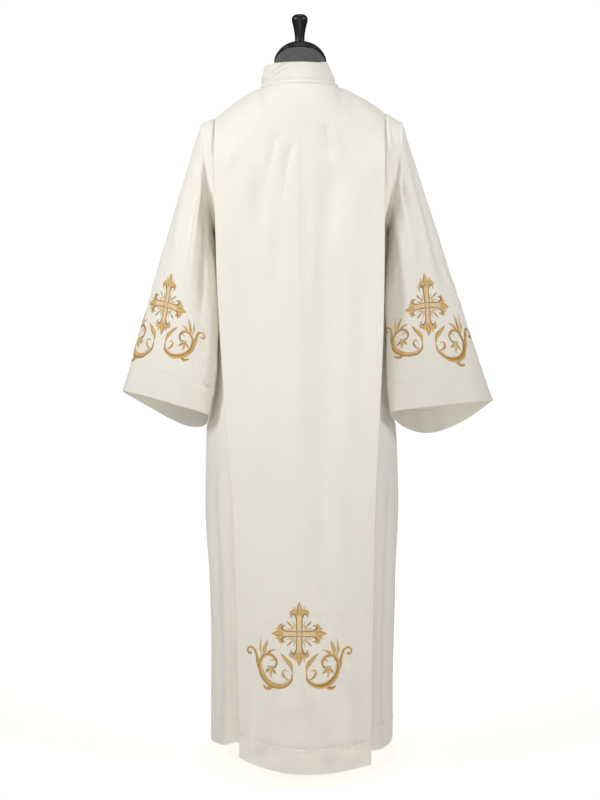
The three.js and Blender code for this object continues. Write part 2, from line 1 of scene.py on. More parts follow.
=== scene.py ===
# Alb on a limbless dress form: the visible cloth, embroidery, form, light and camera.
import bpy, math
import numpy as np
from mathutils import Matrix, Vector


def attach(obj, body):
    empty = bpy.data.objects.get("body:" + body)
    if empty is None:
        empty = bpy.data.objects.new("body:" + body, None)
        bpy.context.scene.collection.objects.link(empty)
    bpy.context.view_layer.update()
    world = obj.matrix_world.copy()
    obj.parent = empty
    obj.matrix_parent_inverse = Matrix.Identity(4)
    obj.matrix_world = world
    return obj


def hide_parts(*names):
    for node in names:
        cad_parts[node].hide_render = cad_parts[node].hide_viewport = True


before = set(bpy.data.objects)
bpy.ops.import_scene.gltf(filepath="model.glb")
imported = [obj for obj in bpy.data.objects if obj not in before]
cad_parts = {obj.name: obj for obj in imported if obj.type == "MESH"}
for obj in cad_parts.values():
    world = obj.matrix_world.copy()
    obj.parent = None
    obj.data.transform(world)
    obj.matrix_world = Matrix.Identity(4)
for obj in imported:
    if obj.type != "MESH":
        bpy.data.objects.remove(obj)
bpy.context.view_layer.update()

scene = bpy.context.scene

# ------------------------------------------------------------------ sizes, mm
CLOTH = 0.9                 # the cloth that shows
SEAM = 0.35
PLEAT_GAP = 3.2
PLEAT_UNDER = 45
FOLD_R = 2.4
LENGTH = 1440
DROP_EXACT = 300
SHOULDER_ROUND = 100
HEM_DEEP = 52               # deep hem of the skirt
CUFF_DEEP = 60              # deep hem of the sleeves
NECK_TILT = 24.7
STEP = 4.8
STITCH = 3.0                # length of one stitch along a hem

def table(cols, rows):
    return [dict(zip(cols.split(), r)) for r in rows]

def curve(rows, key, col):
    """smooth curve through a table's column"""
    p = sorted((r[key], r[col]) for r in rows)
    x = np.array([a for a, _ in p], float); y = np.array([b for _, b in p], float)
    d = np.diff(y) / np.diff(x); m = np.zeros(len(x)); m[0] = d[0]; m[-1] = d[-1]
    for i in range(1, len(x) - 1):
        m[i] = 0 if d[i-1] * d[i] <= 0 else 2 * d[i-1] * d[i] / (d[i-1] + d[i])
    def f(q):
        q = np.clip(np.asarray(q, float), x[0], x[-1])
        i = np.clip(np.searchsorted(x, q, side="right") - 1, 0, len(x) - 2)
        h = x[i+1] - x[i]; t = (q - x[i]) / h; t2 = t * t; t3 = t2 * t
        return (2*t3-3*t2+1)*y[i] + (t3-2*t2+t)*h*m[i] + (3*t2-2*t3)*y[i+1] + (t3-t2)*h*m[i+1]
    return f

def mix(a, b, t): return a + (b - a) * t
def smooth(a, b, v):
    t = np.clip((np.asarray(v, float) - a) / (b - a), 0, 1)
    return t * t * (3 - 2 * t)

SHOULDER = table("x z", [(-212, 1392), (-176, 1410), (-129, 1446), (-83, 1467),
    (0, 1470), (83, 1469), (129, 1449), (163, 1430), (202, 1405), (220, 1395)])
NECK = dict(rx=82, back=75, front=80, y=5, drop=52)
BACK_PANEL = table("z left right mid edge", [
    (1470, -182, 180, 108, 66), (1383, -180, 178, 114, 84), (1300, -178, 177, 128, 112),
    (1150, -174, 176, 146, 136), (1019, -168, 174, 158, 150), (800, -155, 166, 178, 170),
    (606, -141, 158, 199, 188), (330, -134, 154, 216, 192), (30, -129, 151, 232, 190)])
FRONT_PANEL = table("z left right mid edge", [
    (1470, -168, 166, 92, 60), (1383, -166, 164, 98, 74), (1300, -164, 163, 122, 98),
    (1150, -160, 162, 134, 122), (1019, -154, 160, 138, 128), (800, -145, 154, 152, 142),
    (606, -134, 148, 168, 156), (330, -128, 144, 184, 164), (30, -124, 142, 198, 168)])
BACK_HEM = table("x z", [(-129, 52), (-84, 41), (0, 31), (60, 30.4), (106, 33.4), (151, 37)])
BACK_SIDE_HEM = table("x z", [(-205, 38), (-170, 51), (-129, 66), (-84, 41), (106, 33.4), (151, 46), (185, 43), (209, 45)])
FRONT_HEM = table("x z", [(-124, 50), (-79, 45), (0, 42), (97, 46), (142, 50)])
FRONT_SIDE_HEM = table("x z", [(-205, 38), (-124, 60), (-79, 45), (97, 46), (142, 60), (209, 45)])
SIDES = table("z left right seam_y recess round", [
    (1150, 186, 192, 10, 12, 1.6), (1090, 184.3, 192, 12, 16, 1.6), (1019, 183.2, 193, 14, 21, 1.6),
    (900, 184.6, 193, 18, 25, 1.6), (820, 189, 194, 30, 27, 1.6), (770, 198, 201, 36, 29, 1.6),
    (728, 208, 214, 34, 30, 1.75), (571, 211, 219, 18, 32, 1.9), (402, 202, 213, 10, 32, 1.9),
    (230, 198, 209, 5, 32, 1.9), (30, 201, 208, 0, 30, 1.9)])
ARMHOLE = {
    "left": dict(x=-199, y=7.5, z=1271, half=121, lean=-13, leanY=-2.5, back=88, front=78),
    "right": dict(x=206, y=7.5, z=1273, half=122, lean=14, leanY=-2.5, back=88, front=78)}
SAG_SKEW = {"left": 0.45, "right": 0.15}
SAG_PEAK = {"left": 1.0, "right": 1.6}
SLEEVE_COLS = "row ox oy oz ix iy iz back front sag back_up"
SLEEVE = {"left": table(SLEEVE_COLS, [
    (0, -212, 5, 1392, -186, 10, 1150, 88, 78, 0, 0),
    (1, -222, 5, 1366, -187, -2, 1122, 88, 78, 0, 0),
    (2, -246, 5, 1290, -181.5, -28, 1072, 84, 78, 0, 0),
    (3, -277, 7, 1190, -178, -42, 1010, 72, 80, 4, 2),
    (4, -307, 9, 1092, -176.5, -54, 945, 60, 84, 10, 4),
    (5, -337, 11, 990, -177, -66, 882, 50, 90, 18, 6),
    (6, -364, 13, 902, -184, -74, 824, 42, 96, 29, 8),
    (7, -383, 15, 836, -192, -79, 786, 38, 100, 38, 9),
    (8, -391, 15, 812, -196, -80, 770, 37, 100, 46, 9)]),
  "right": table(SLEEVE_COLS, [
    (0, 220, 5, 1395, 192, 10, 1151, 88, 78, 0, 0),
    (1, 227, 5, 1374, 193.5, -2, 1122, 88, 78, 0, 0),
    (2, 257, 5, 1282, 189, -28, 1072, 84, 78, 0, 0),
    (3, 290, 7, 1184, 187, -42, 1010, 72, 80, 4, 2),
    (4, 325, 9, 1080, 186, -56, 945, 60, 84, 12, 4),
    (5, 359, 11, 980, 185.5, -70, 882, 50, 92, 24, 6),
    (6, 391, 13, 888, 188, -83, 828, 40, 102, 42, 8),
    (7, 417, 15, 814, 191, -91, 791, 34, 110, 56, 8),
    (8, 426, 15, 790, 192, -93, 778, 32, 112, 70, 8)])}
COLLAR_TOP = dict(left=-76, right=60, back=-62, front=68, zLeft=1514, zBack=1516, zRight=1521, zFront=1462)
FORM = table("z half back front tilt square", [
    (878, 128, 78, 70, 0, 2.2), (884, 142, 86, 78, 0, 2.2), (900, 148, 90, 82, 0, 2.2), (960, 150, 92, 84, 0, 2.2),
    (1050, 126, 84, 80, 0, 2.2), (1150, 140, 96, 92, 0, 2.2), (1230, 156, 100, 98, 0, 2.3), (1300, 168, 92, 88, 0, 2.4),
    (1350, 176, 76, 70, 0, 2.3), (1380, 168, 62, 56, 0, 2.2), (1400, 146, 58, 54, 0, 2.1), (1420, 120, 56, 52, 0, 2.0),
    (1438, 92, 56, 50, 0, 2.0), (1455, 66, 56, 48, 6, 2.0), (1475, 56, 55, 47, 14, 2.0), (1521, 53.5, 54, 46, NECK_TILT, 2.0)])

# ------------------------------------------------------------------ folds, placed one by one (mm)
# a fold runs from (x0, z0) to (x1, z1); deep > 0 stands out, < 0 falls in;
# in0/out1 are the shares of its length over which it fades at each end; kind 1 is a pressed crease
FOLD_COLS = "x0 z0 x1 z1 wide deep bow in0 out1 kind"
FOLDS_BACK = table(FOLD_COLS, [
    (-2, 1425, -4, 330, 2.6, 0.9, 2, 0.06, 0.3, 1),      # pressed crease, centre back
    (-52, 1366, -78, 1236, 7.5, -5.2, -3, 0.12, 0.65, 0),
    (-40, 1362, -62, 1262, 8, 2.4, -3, 0.2, 0.6, 0),
    (-72, 1300, -88, 1080, 18, -5.2, 4, 0.4, 0.6, 0),
    (-15, 1346, -42, 1180, 7, -5.4, 5, 0.10, 0.65, 0),
    (-1, 1340, -24, 1220, 8, 2.6, 5, 0.2, 0.6, 0),
    (-38, 1240, -50, 930, 17, -5.7, 3, 0.4, 0.6, 0),
    (52, 1382, 75, 1296, 8, -6.0, 4, 0.12, 0.55, 0),
    (66, 1384, 92, 1316, 9, 2.2, 3, 0.3, 0.5, 0),
    (74, 1318, 58, 1090, 20, -7.0, 0, 0.3, 0.6, 0),
    (58, 1150, 50, 640, 30, -5.5, -4, 0.4, 0.5, 0),
    (-10, 1330, -7, 800, 24, 7.0, 0, 0.2, 0.6, 0),
    (-6, 980, -2, 330, 34, 6.0, 3, 0.4, 0.3, 0),
    (28, 1300, 26, 900, 14, 3.9, 0, 0.35, 0.5, 0),
    (-98, 1200, -90, 700, 24, -4.2, 2, 0.4, 0.5, 0),
    (-24, 820, -30, 420, 18, -3.4, 0, 0.4, 0.5, 0),
    (-112, 1396, -160, 1308, 12, -3.4, 3, 0.3, 0.5, 0),
    (-134, 1342, -172, 1262, 10, 3.0, -3, 0.3, 0.6, 0),
    (-96, 1330, -120, 1180, 20, 4.2, 3, 0.4, 0.6, 0),
    (-118, 1250, -128, 900, 26, -3.4, 0, 0.4, 0.5, 0),
    (84, 1424, 160, 1392, 14, -3.4, -3, 0.3, 0.4, 0),
    (104, 1330, 110, 1010, 26, 4.4, 0, 0.4, 0.5, 0),
    (142, 1330, 150, 1240, 18, 3.4, 0, 0.5, 0.5, 0),
    (132, 1120, 128, 700, 24, -3.1, 3, 0.4, 0.5, 0),
    (-92, 900, -86, 420, 28, 3.1, 0, 0.4, 0.4, 0),
    (-66, 800, -62, 470, 22, -3.6, 0, 0.4, 0.4, 0),
    (92, 820, 84, 420, 24, 2.9, 0, 0.4, 0.4, 0),
    (44, 640, 40, 420, 16, -2.6, 0, 0.4, 0.5, 0),
    (-84, 235, -86, 60, 13, -3.4, 0, 0.4, 0.15, 0),
    (-106, 210, -108, 40, 12, 2.6, 0, 0.4, 0.1, 0),
    (-54, 190, -56, 60, 14, 2.4, 0, 0.5, 0.1, 0),
    (-24, 205, -30, 120, 12, -3.0, 4, 0.4, 0.5, 0),
    (8, 215, 12, 60, 16, 2.2, 0, 0.5, 0.1, 0),
    (58, 196, 66, 50, 17, -2.2, 0, 0.5, 0.1, 0),
    (104, 260, 112, 60, 18, 2.8, 0, 0.5, 0.1, 0),
    (-158, 893, -139, 894, 2.6, 0.9, 0, 0.1, 0.6, 0),    # short press marks at the folds
    (-158, 899, -141, 900, 3.0, -0.7, 0, 0.1, 0.6, 0),
    (152, 908, 131, 905, 2.6, 1.0, 0, 0.1, 0.6, 0),
    (152, 901, 134, 899, 3.0, -0.7, 0, 0.1, 0.6, 0),
    (150, 608, 126, 605, 2.6, 1.0, 0, 0.1, 0.6, 0),
    (150, 600, 130, 599, 3.0, -0.7, 0, 0.1, 0.6, 0),
    (-136, 501, -112, 507, 3.0, 0.9, 0, 0.1, 0.6, 0),
    (-133, 374, -110, 384, 4.0, 1.0, 0, 0.1, 0.6, 0),
    (-133, 345, -112, 350, 3.5, -0.9, 0, 0.1, 0.6, 0),
    (-76, 588, -52, 585, 3.0, 1.0, 0, 0.3, 0.4, 0),
    (-150, 700, -120, 690, 4.0, 0.8, 0, 0.1, 0.6, 0),
    (148, 420, 112, 380, 9.0, -1.6, 0, 0.2, 0.6, 0),
    (151, 395, 120, 352, 8.0, 1.6, 0, 0.2, 0.6, 0)])
FOLDS_FRONT = table(FOLD_COLS, [
    (-60, 1330, -80, 1120, 16, -3.5, 3, 0.3, 0.6, 0),
    (62, 1322, 76, 1060, 18, -3.8, -3, 0.3, 0.6, 0),
    (-112, 1300, -120, 900, 24, 3.0, 0, 0.4, 0.5, 0),
    (108, 1280, 118, 860, 24, 3.0, 0, 0.4, 0.5, 0),
    (-30, 1000, -24, 360, 26, 3.4, 3, 0.4, 0.3, 0),
    (40, 980, 34, 300, 28, 3.0, -3, 0.4, 0.3, 0),
    (4, 960, 6, 420, 20, -3.0, 0, 0.4, 0.4, 0),
    (-86, 800, -80, 200, 26, -2.6, 0, 0.4, 0.3, 0),
    (92, 760, 86, 180, 24, -2.4, 0, 0.4, 0.3, 0),
    (-60, 220, -62, 60, 14, 2.2, 0, 0.5, 0.1, 0),
    (70, 210, 74, 60, 15, 2.4, 0, 0.5, 0.1, 0),
    (-150, 880, -130, 882, 2.8, 0.9, 0, 0.1, 0.6, 0),
    (150, 610, 128, 606, 2.8, 0.9, 0, 0.1, 0.6, 0)])
DIMPLE_COLS = "x z rx rz high"
DIMPLES_BACK = table(DIMPLE_COLS, [
    (-21, 178, 17, 20, -2.6), (-2, 205, 12, 14, 2.0), (30, 190, 16, 20, -1.8), (-79, 240, 16, 24, -2.2),
    (94, 196, 18, 24, 1.8), (-40, 430, 16, 12, 1.4), (36, 428, 14, 14, 1.3), (-88, 372, 14, 30, 1.6),
    (80, 388, 18, 26, 1.6), (-46, 262, 12, 12, 1.6), (52, 268, 12, 12, 1.5), (-112, 300, 10, 40, -1.6),
    (128, 300, 12, 44, -1.4), (-64, 418, 12, 16, -1.2), (70, 344, 12, 12, 1.2), (-22, 410, 8, 10, -1.0),
    (24, 404, 8, 10, -1.0), (-75, 620, 14, 20, -1.3), (-52, 560, 12, 14, 1.1), (-62, 505, 10, 18, -1.2)])

def folds_at(rows, X, Z, scale=1.0):
    D = np.zeros(np.broadcast(X, Z).shape)
    for r in rows:
        ax, az = r["x1"] - r["x0"], r["z1"] - r["z0"]; L = math.hypot(ax, az)
        s = ((X - r["x0"]) * ax + (Z - r["z0"]) * az) / L ** 2
        d = ((X - r["x0"]) * az - (Z - r["z0"]) * ax) / L - r["bow"] * 4 * np.clip(s, 0, 1) * (1 - np.clip(s, 0, 1))
        env = smooth(0, max(r["in0"], 1e-3), s) * (1 - smooth(1 - max(r["out1"], 1e-3), 1, s))
        prof = np.exp(-np.abs(d) / r["wide"]) if r["kind"] else np.exp(-(d / r["wide"]) ** 2)
        D = D + r["deep"] * scale * prof * env
    return D

def dimples_at(rows, X, Z):
    D = np.zeros(np.broadcast(X, Z).shape)
    for r in rows:
        D = D + r["high"] * np.exp(-((X - r["x"]) / r["rx"]) ** 2 - ((Z - r["z"]) / r["rz"]) ** 2)
    return D

def ripple(X, Z, seed, size, n=14):
    """soft uneven waves of about one size, in mm"""
    g = np.random.default_rng(seed); D = np.zeros(np.broadcast(X, Z).shape)
    for _ in range(n):
        a = g.uniform(0, 2 * math.pi); k = 2 * math.pi / (size * g.uniform(0.7, 1.6)); p = g.uniform(0, 2 * math.pi)
        D = D + np.sin(k * (X * math.cos(a) + Z * math.sin(a)) + p)
    return D / math.sqrt(n)

# ------------------------------------------------------------------ the body's cloth surfaces
class Body:
    def __init__(b, side):
        b.side = side
        rows = BACK_PANEL if side < 0 else FRONT_PANEL
        b.c = {k: curve(rows, "z", k) for k in ("left", "right", "mid", "edge")}
        b.s = {k: curve(SIDES, "z", k) for k in ("left", "right", "seam_y", "recess", "round")}
        b.hem = curve(BACK_HEM if side < 0 else FRONT_HEM, "x", "z")
        b.side_hem = curve(BACK_SIDE_HEM if side < 0 else FRONT_SIDE_HEM, "x", "z")
        b.shoulder = curve(SHOULDER, "x", "z")
    def ring(b, x): return np.sqrt(np.maximum(0, 1 - (x / NECK["rx"]) ** 2))
    def top_z(b, x): return b.shoulder(x) - (NECK["drop"] * b.ring(x) if b.side > 0 else 0)
    def top_y(b, x): return NECK["y"] + b.side * (NECK["back"] if b.side < 0 else NECK["front"]) * b.ring(x)
    def level(b, x, d, hem):
        return b.top_z(x) - d - (b.top_z(x) - LENGTH - hem(x)) * np.clip((d - DROP_EXACT) / (LENGTH - DROP_EXACT), 0, 1)
    def nominal(b, d):
        z0 = 0.0
        return b.level(z0, d + (b.top_z(z0) - b.shoulder(z0)), b.hem)
    def edge_x(b, hand, d): return b.c[hand](b.nominal(d))
    def outer(b, hand, d):
        a = ARMHOLE[hand]; top = a["z"] + a["half"]; sgn = -1 if hand == "left" else 1
        d = np.asarray(d, float)
        k = np.clip((top - d - a["z"]) / a["half"], -1, 1)
        depth = a["back"] if b.side < 0 else a["front"]
        ax = a["x"] + a["lean"] * k; ay = a["y"] + a["leanY"] * k + b.side * depth * np.sqrt(1 - k * k); az = top - d
        x = sgn * b.s[hand](top - d); z = b.level(x, d + (b.top_z(x) - top), b.side_hem)
        x = sgn * b.s[hand](z); z = b.level(x, d + (b.top_z(x) - top), b.side_hem)
        up = d < 2 * a["half"]
        return np.where(up, ax, x), np.where(up, ay, b.s["seam_y"](z)), np.where(up, az, z)
    def on(b, x, d, hem):
        x, d = np.broadcast_arrays(np.asarray(x, float), np.asarray(d, float))
        z = b.level(x, d, hem)
        e = np.where(x < 0, b.c["left"](z), b.c["right"](z))
        full = b.side * mix(b.c["mid"](z), b.c["edge"](z), np.minimum(1, (x / e) ** 2))
        for hand, sel in (("left", x < 0), ("right", x >= 0)):
            ex = b.edge_x(hand, d); ox = b.outer(hand, np.maximum(d, 0))[0]
            a = ARMHOLE[hand]; f = a["back"] if b.side < 0 else a["front"]
            beyond = sel & (np.abs(x) > np.abs(ex)) & (np.abs(ox) > np.abs(ex))
            den = np.where(np.abs(ox - ex) < 1e-6, 1, ox - ex)
            new = mix(full, mix(NECK["y"] + b.side * f, full, smooth(200, 420, d)), smooth(0, 1, (x - ex) / den))
            full = np.where(beyond, new, full)
        turned = np.sqrt(1 - (1 - np.clip(d / SHOULDER_ROUND, 0, 1)) ** 2)
        return np.stack([x, mix(b.top_y(x), full, turned), z], -1)
    def normal(b, x, d, hem):
        e = 0.8
        u = b.on(x + e, d, hem) - b.on(x - e, d, hem)
        v = b.on(x, d + e, hem) - b.on(x, np.maximum(0, d - e), hem)
        n = np.cross(u, v); n /= np.linalg.norm(n, axis=-1, keepdims=True) + 1e-12
        if b.side > 0: n = -n
        return n
    def point(b, x, off, d, hem=None, disp=0.0):
        """`off` mm under the surface, after the folds have moved it out by disp"""
        hem = hem or b.hem
        p = b.on(x, d, hem); n = b.normal(x, d, hem)
        return p + n * (np.asarray(off, float) - disp)[..., None]

BACK, FRONT = Body(-1), Body(1)

def rows_down(step):
    """levels below the shoulder: close together where it turns, even below"""
    n = max(6, int(math.pi / 2 * SHOULDER_ROUND / step))
    a = SHOULDER_ROUND * (1 - np.cos(np.linspace(0, math.pi / 2, n)))
    m = int((LENGTH - SHOULDER_ROUND) / step)
    b = np.linspace(SHOULDER_ROUND, LENGTH, m)[1:]
    hem = LENGTH - HEM_DEEP                        # finer rows at the hem's stitch line
    extra = np.array([hem - 2.4, hem - 1.0, hem, hem + 1.0, hem + 2.4])
    d = np.concatenate([a, b[(b < hem - 3.4) | (b > hem + 3.4)], extra])
    return np.sort(d)

def hem_relief(below, deep):
    """the turned-up hem: one layer more under a stitched line. below = mm above the edge"""
    step = 0.55 * (1 - smooth(deep - 0.6, deep + 0.9, below))
    groove = -0.45 * np.exp(-((below - deep + 1.2) / 1.3) ** 2)
    return step + groove

def stitched(below, deep, along, seed):
    """the small uneven ridge and puckers that a row of stitching draws up above itself"""
    g = ripple(along, along * 0.0, seed, 15, 9)
    x = below - deep - 0.8
    return np.exp(-(x / np.where(x > 0, 4.8, 1.1)) ** 2) * (1.2 + 0.6 * g) + 0.5 * g * np.exp(-((below - deep) / 9.0) ** 2)

# ------------------------------------------------------------------ meshes
def grid_faces(nr, nc, base, flip, loop=False):
    i, j = np.meshgrid(np.arange(nr - 1), np.arange(nc if loop else nc - 1), indexing="ij")
    k = (j + 1) % nc
    a = base + i * nc + j; b = base + i * nc + k; c = base + (i + 1) * nc + k; d = base + (i + 1) * nc + j
    q = np.stack([a, d, c, b] if not flip else [a, b, c, d], -1).reshape(-1, 4)
    return q

def make_object(name, verts, faces, mat, uv=None, sharp=None, color=None, period=None):
    me = bpy.data.meshes.new(name)
    v = np.asarray(verts, float) / 1000.0
    me.from_pydata(v.tolist(), [], [list(map(int, f)) for f in faces])
    me.validate(clean_customdata=False)
    me.polygons.foreach_set("use_smooth", [True] * len(me.polygons))
    if uv is not None:
        lay = me.uv_layers.new(name="UVMap")
        vi = np.empty(len(me.loops), np.int32); me.loops.foreach_get("vertex_index", vi)
        q = np.asarray(uv, np.float32)[vi]
        if period:                                # faces that close a ring: carry u on past the join
            g = q.reshape(-1, 4, 2); wide = np.ptp(g[..., 0], axis=1) > period / 2
            g[..., 0] = np.where(wide[:, None] & (g[..., 0] < period / 2), g[..., 0] + period, g[..., 0])
            q = g.reshape(-1, 2)
        lay.data.foreach_set("uv", q.ravel())
    # per-point colour; on the motif this is thread colour with painted shade and highlight
    if color is not None:
        at = me.attributes.new("thread_colour_and_painted_light", "FLOAT_COLOR", "POINT")
        at.data.foreach_set("color", np.asarray(color, np.float32).ravel())
    if sharp is not None and len(sharp):
        at = me.attributes.get("sharp_edge") or me.attributes.new("sharp_edge", "BOOLEAN", "EDGE")
        ev = np.empty(len(me.edges) * 2, np.int32); me.edges.foreach_get("vertices", ev); ev = ev.reshape(-1, 2)
        s = {tuple(sorted(map(int, e))) for e in sharp}
        at.data.foreach_set("value", [tuple(sorted((int(p), int(q)))) in s for p, q in ev])
    me.update()
    ob = bpy.data.objects.new(name, me); scene.collection.objects.link(ob)
    if mat: me.materials.append(mat)
    return ob

def shell(name, A, B, mat, loop=False, uv=None):
    """thin closed cloth between two grids of points [row][column]"""
    A = np.asarray(A, float); B = np.asarray(B, float); nr, nc = A.shape[:2]; n = nr * nc
    V = np.concatenate([A.reshape(-1, 3), B.reshape(-1, 3)])
    F = [grid_faces(nr, nc, 0, False, loop), grid_faces(nr, nc, n, True, loop)]
    rim = []; sharp = []
    def strip(p):                                  # p: indices along one border
        q = p + n
        for k in range(len(p) - 1):
            rim.append((p[k], p[k+1], q[k+1], q[k]))
            sharp.append((p[k], p[k+1])); sharp.append((q[k], q[k+1]))
    cols = np.arange(nc)
    if loop: cols = np.append(cols, 0)
    strip(cols); strip(((nr - 1) * nc + cols)[::-1])
    if not loop:
        r = np.arange(nr)
        strip((r * nc)[::-1]); strip(r * nc + nc - 1)
    F = np.concatenate(F + [np.array(rim)])
    # closed shell: make its faces look outward
    t = np.concatenate([F[:, [0, 1, 2]], F[:, [0, 2, 3]]])
    vol = np.einsum("ij,ij->i", V[t[:, 0]], np.cross(V[t[:, 1]], V[t[:, 2]])).sum()
    if vol < 0: F = F[:, ::-1]
    if uv is None:
        du = np.zeros((nr, nc)); dv = np.zeros((nr, nc))
        du[:, 1:] = np.cumsum(np.linalg.norm(np.diff(A, axis=1), axis=2), axis=1)
        dv[1:] = np.cumsum(np.linalg.norm(np.diff(A, axis=0), axis=2), axis=0)
        du -= du.mean(axis=1, keepdims=True)
        uv = np.stack([du, -dv], -1) / 1000.0
    uv = np.asarray(uv).reshape(-1, 2)
    period = float(uv[:, 0].max()) if loop else None
    ob = make_object(name, V, F, mat, uv=np.concatenate([uv, uv]), sharp=sharp, period=period)
    e1 = A[1:, :-1] - A[:-1, :-1]; e2 = A[:-1, 1:] - A[:-1, :-1]; e3 = A[1:, 1:] - A[:-1, :-1]
    area = 0.5 * (np.linalg.norm(np.cross(e1, e3), axis=2) + np.linalg.norm(np.cross(e3, e2), axis=2)).sum() / 1e6
    ob["area_m2"] = float(area)
    return ob

# ------------------------------------------------------------------ materials
def new_mat(name):
    m = bpy.data.materials.new(name); m.use_nodes = True
    nt = m.node_tree; b = nt.nodes["Principled BSDF"]
    return m, nt, b
def node(nt, kind, **kw):
    n = nt.nodes.new(kind)
    for k, v in kw.items(): setattr(n, k, v)
    return n
def link(nt, a, b): nt.links.new(a, b)

def cloth_material(name, base, deep):
    """plain weave: fine crossing threads, slubs, faint unevenness"""
    m, nt, b = new_mat(name)
    uvn = node(nt, "ShaderNodeUVMap", uv_map="UVMap")
    tc = node(nt, "ShaderNodeTexCoord")
    waves = []
    for ax, pitch in (("X", 0.00042), ("Y", 0.00046)):
        w = node(nt, "ShaderNodeTexWave", wave_type="BANDS", bands_direction=ax, wave_profile="SIN")
        w.inputs["Scale"].default_value = 0.314159 / pitch
        w.inputs["Distortion"].default_value = 1.2
        w.inputs["Detail"].default_value = 1.0
        w.inputs["Detail Scale"].default_value = 0.6
        link(nt, uvn.outputs["UV"], w.inputs["Vector"]); waves.append(w)
    mul = node(nt, "ShaderNodeMath", operation="MULTIPLY")
    link(nt, waves[0].outputs["Fac"], mul.inputs[0]); link(nt, waves[1].outputs["Fac"], mul.inputs[1])
    slub = node(nt, "ShaderNodeTexNoise"); slub.inputs["Scale"].default_value = 900; slub.inputs["Detail"].default_value = 3
    mp = node(nt, "ShaderNodeMapping"); mp.inputs["Scale"].default_value = (1.0, 0.08, 1.0)
    link(nt, uvn.outputs["UV"], mp.inputs["Vector"]); link(nt, mp.outputs["Vector"], slub.inputs["Vector"])
    soft = node(nt, "ShaderNodeTexNoise"); soft.inputs["Scale"].default_value = 9; soft.inputs["Detail"].default_value = 4
    link(nt, tc.outputs["Object"], soft.inputs["Vector"])
    r1 = node(nt, "ShaderNodeMapRange"); r1.inputs["From Min"].default_value = 0.3; r1.inputs["From Max"].default_value = 0.7
    link(nt, soft.outputs["Fac"], r1.inputs["Value"])
    mixc = node(nt, "ShaderNodeMix", data_type="RGBA")
    mixc.inputs["A"].default_value = (*base, 1); mixc.inputs["B"].default_value = (*deep, 1)
    r1.inputs["To Min"].default_value = 0.0; r1.inputs["To Max"].default_value = 0.35
    link(nt, r1.outputs["Result"], mixc.inputs["Factor"])
    # slubs darken single threads a little
    r2 = node(nt, "ShaderNodeMapRange"); r2.inputs["From Min"].default_value = 0.35; r2.inputs["From Max"].default_value = 0.75
    r2.inputs["To Min"].default_value = 0.0; r2.inputs["To Max"].default_value = 0.10
    link(nt, slub.outputs["Fac"], r2.inputs["Value"])
    mix2 = node(nt, "ShaderNodeMix", data_type="RGBA", blend_type="MULTIPLY")
    mix2.inputs["B"].default_value = (0.90, 0.88, 0.84, 1)
    link(nt, r2.outputs["Result"], mix2.inputs["Factor"]); link(nt, mixc.outputs["Result"], mix2.inputs["A"])
    link(nt, mix2.outputs["Result"], b.inputs["Base Color"])
    bump = node(nt, "ShaderNodeBump"); bump.inputs["Strength"].default_value = 0.18; bump.inputs["Distance"].default_value = 0.0001
    link(nt, mul.outputs["Value"], bump.inputs["Height"])
    bump2 = node(nt, "ShaderNodeBump"); bump2.inputs["Strength"].default_value = 0.12; bump2.inputs["Distance"].default_value = 0.002
    wr = node(nt, "ShaderNodeTexNoise"); wr.inputs["Scale"].default_value = 42; wr.inputs["Detail"].default_value = 2; wr.inputs["Roughness"].default_value = 0.4
    link(nt, tc.outputs["Object"], wr.inputs["Vector"]); link(nt, wr.outputs["Fac"], bump2.inputs["Height"])
    link(nt, bump2.outputs["Normal"], bump.inputs["Normal"]); link(nt, bump.outputs["Normal"], b.inputs["Normal"])
    b.inputs["Roughness"].default_value = 0.78
    b.inputs["Specular IOR Level"].default_value = 0.25
    b.inputs["Sheen Weight"].default_value = 0.12
    b.inputs["Sheen Roughness"].default_value = 0.5
    return m

IVORY = cloth_material("alb_cloth", (0.865, 0.828, 0.748), (0.85, 0.808, 0.718))

def thread_material():
    """satin stitches: glossy thread, fine lines across each ribbon"""
    m, nt, b = new_mat("gold_thread")
    # colour from the ribbons: thread shades with painted shade and painted highlight
    at = node(nt, "ShaderNodeAttribute", attribute_name="thread_colour_and_painted_light")
    uvn = node(nt, "ShaderNodeUVMap", uv_map="UVMap")
    w = node(nt, "ShaderNodeTexWave", wave_type="BANDS", bands_direction="Y", wave_profile="SIN")
    w.inputs["Scale"].default_value = 0.314159 / 0.00055
    w.inputs["Distortion"].default_value = 0.6; w.inputs["Detail"].default_value = 1
    link(nt, uvn.outputs["UV"], w.inputs["Vector"])
    nz = node(nt, "ShaderNodeTexNoise"); nz.inputs["Scale"].default_value = 420; nz.inputs["Detail"].default_value = 2
    mp = node(nt, "ShaderNodeMapping"); mp.inputs["Scale"].default_value = (0.25, 1.0, 1.0)
    link(nt, uvn.outputs["UV"], mp.inputs["Vector"]); link(nt, mp.outputs["Vector"], nz.inputs["Vector"])
    r = node(nt, "ShaderNodeMapRange"); r.inputs["From Min"].default_value = 0.3; r.inputs["From Max"].default_value = 0.7
    r.inputs["To Min"].default_value = 0.0; r.inputs["To Max"].default_value = 0.55
    link(nt, nz.outputs["Fac"], r.inputs["Value"])
    mx = node(nt, "ShaderNodeMix", data_type="RGBA", blend_type="MULTIPLY")
    mx.inputs["B"].default_value = (0.80, 0.70, 0.55, 1)
    link(nt, at.outputs["Color"], mx.inputs["A"]); link(nt, r.outputs["Result"], mx.inputs["Factor"])
    link(nt, mx.outputs["Result"], b.inputs["Base Color"])
    bump = node(nt, "ShaderNodeBump"); bump.inputs["Strength"].default_value = 0.5; bump.inputs["Distance"].default_value = 0.00012
    link(nt, w.outputs["Fac"], bump.inputs["Height"]); link(nt, bump.outputs["Normal"], b.inputs["Normal"])
    b.inputs["Roughness"].default_value = 0.42
    b.inputs["Specular IOR Level"].default_value = 0.5
    b.inputs["Sheen Weight"].default_value = 0.15
    return m
GOLD = thread_material()

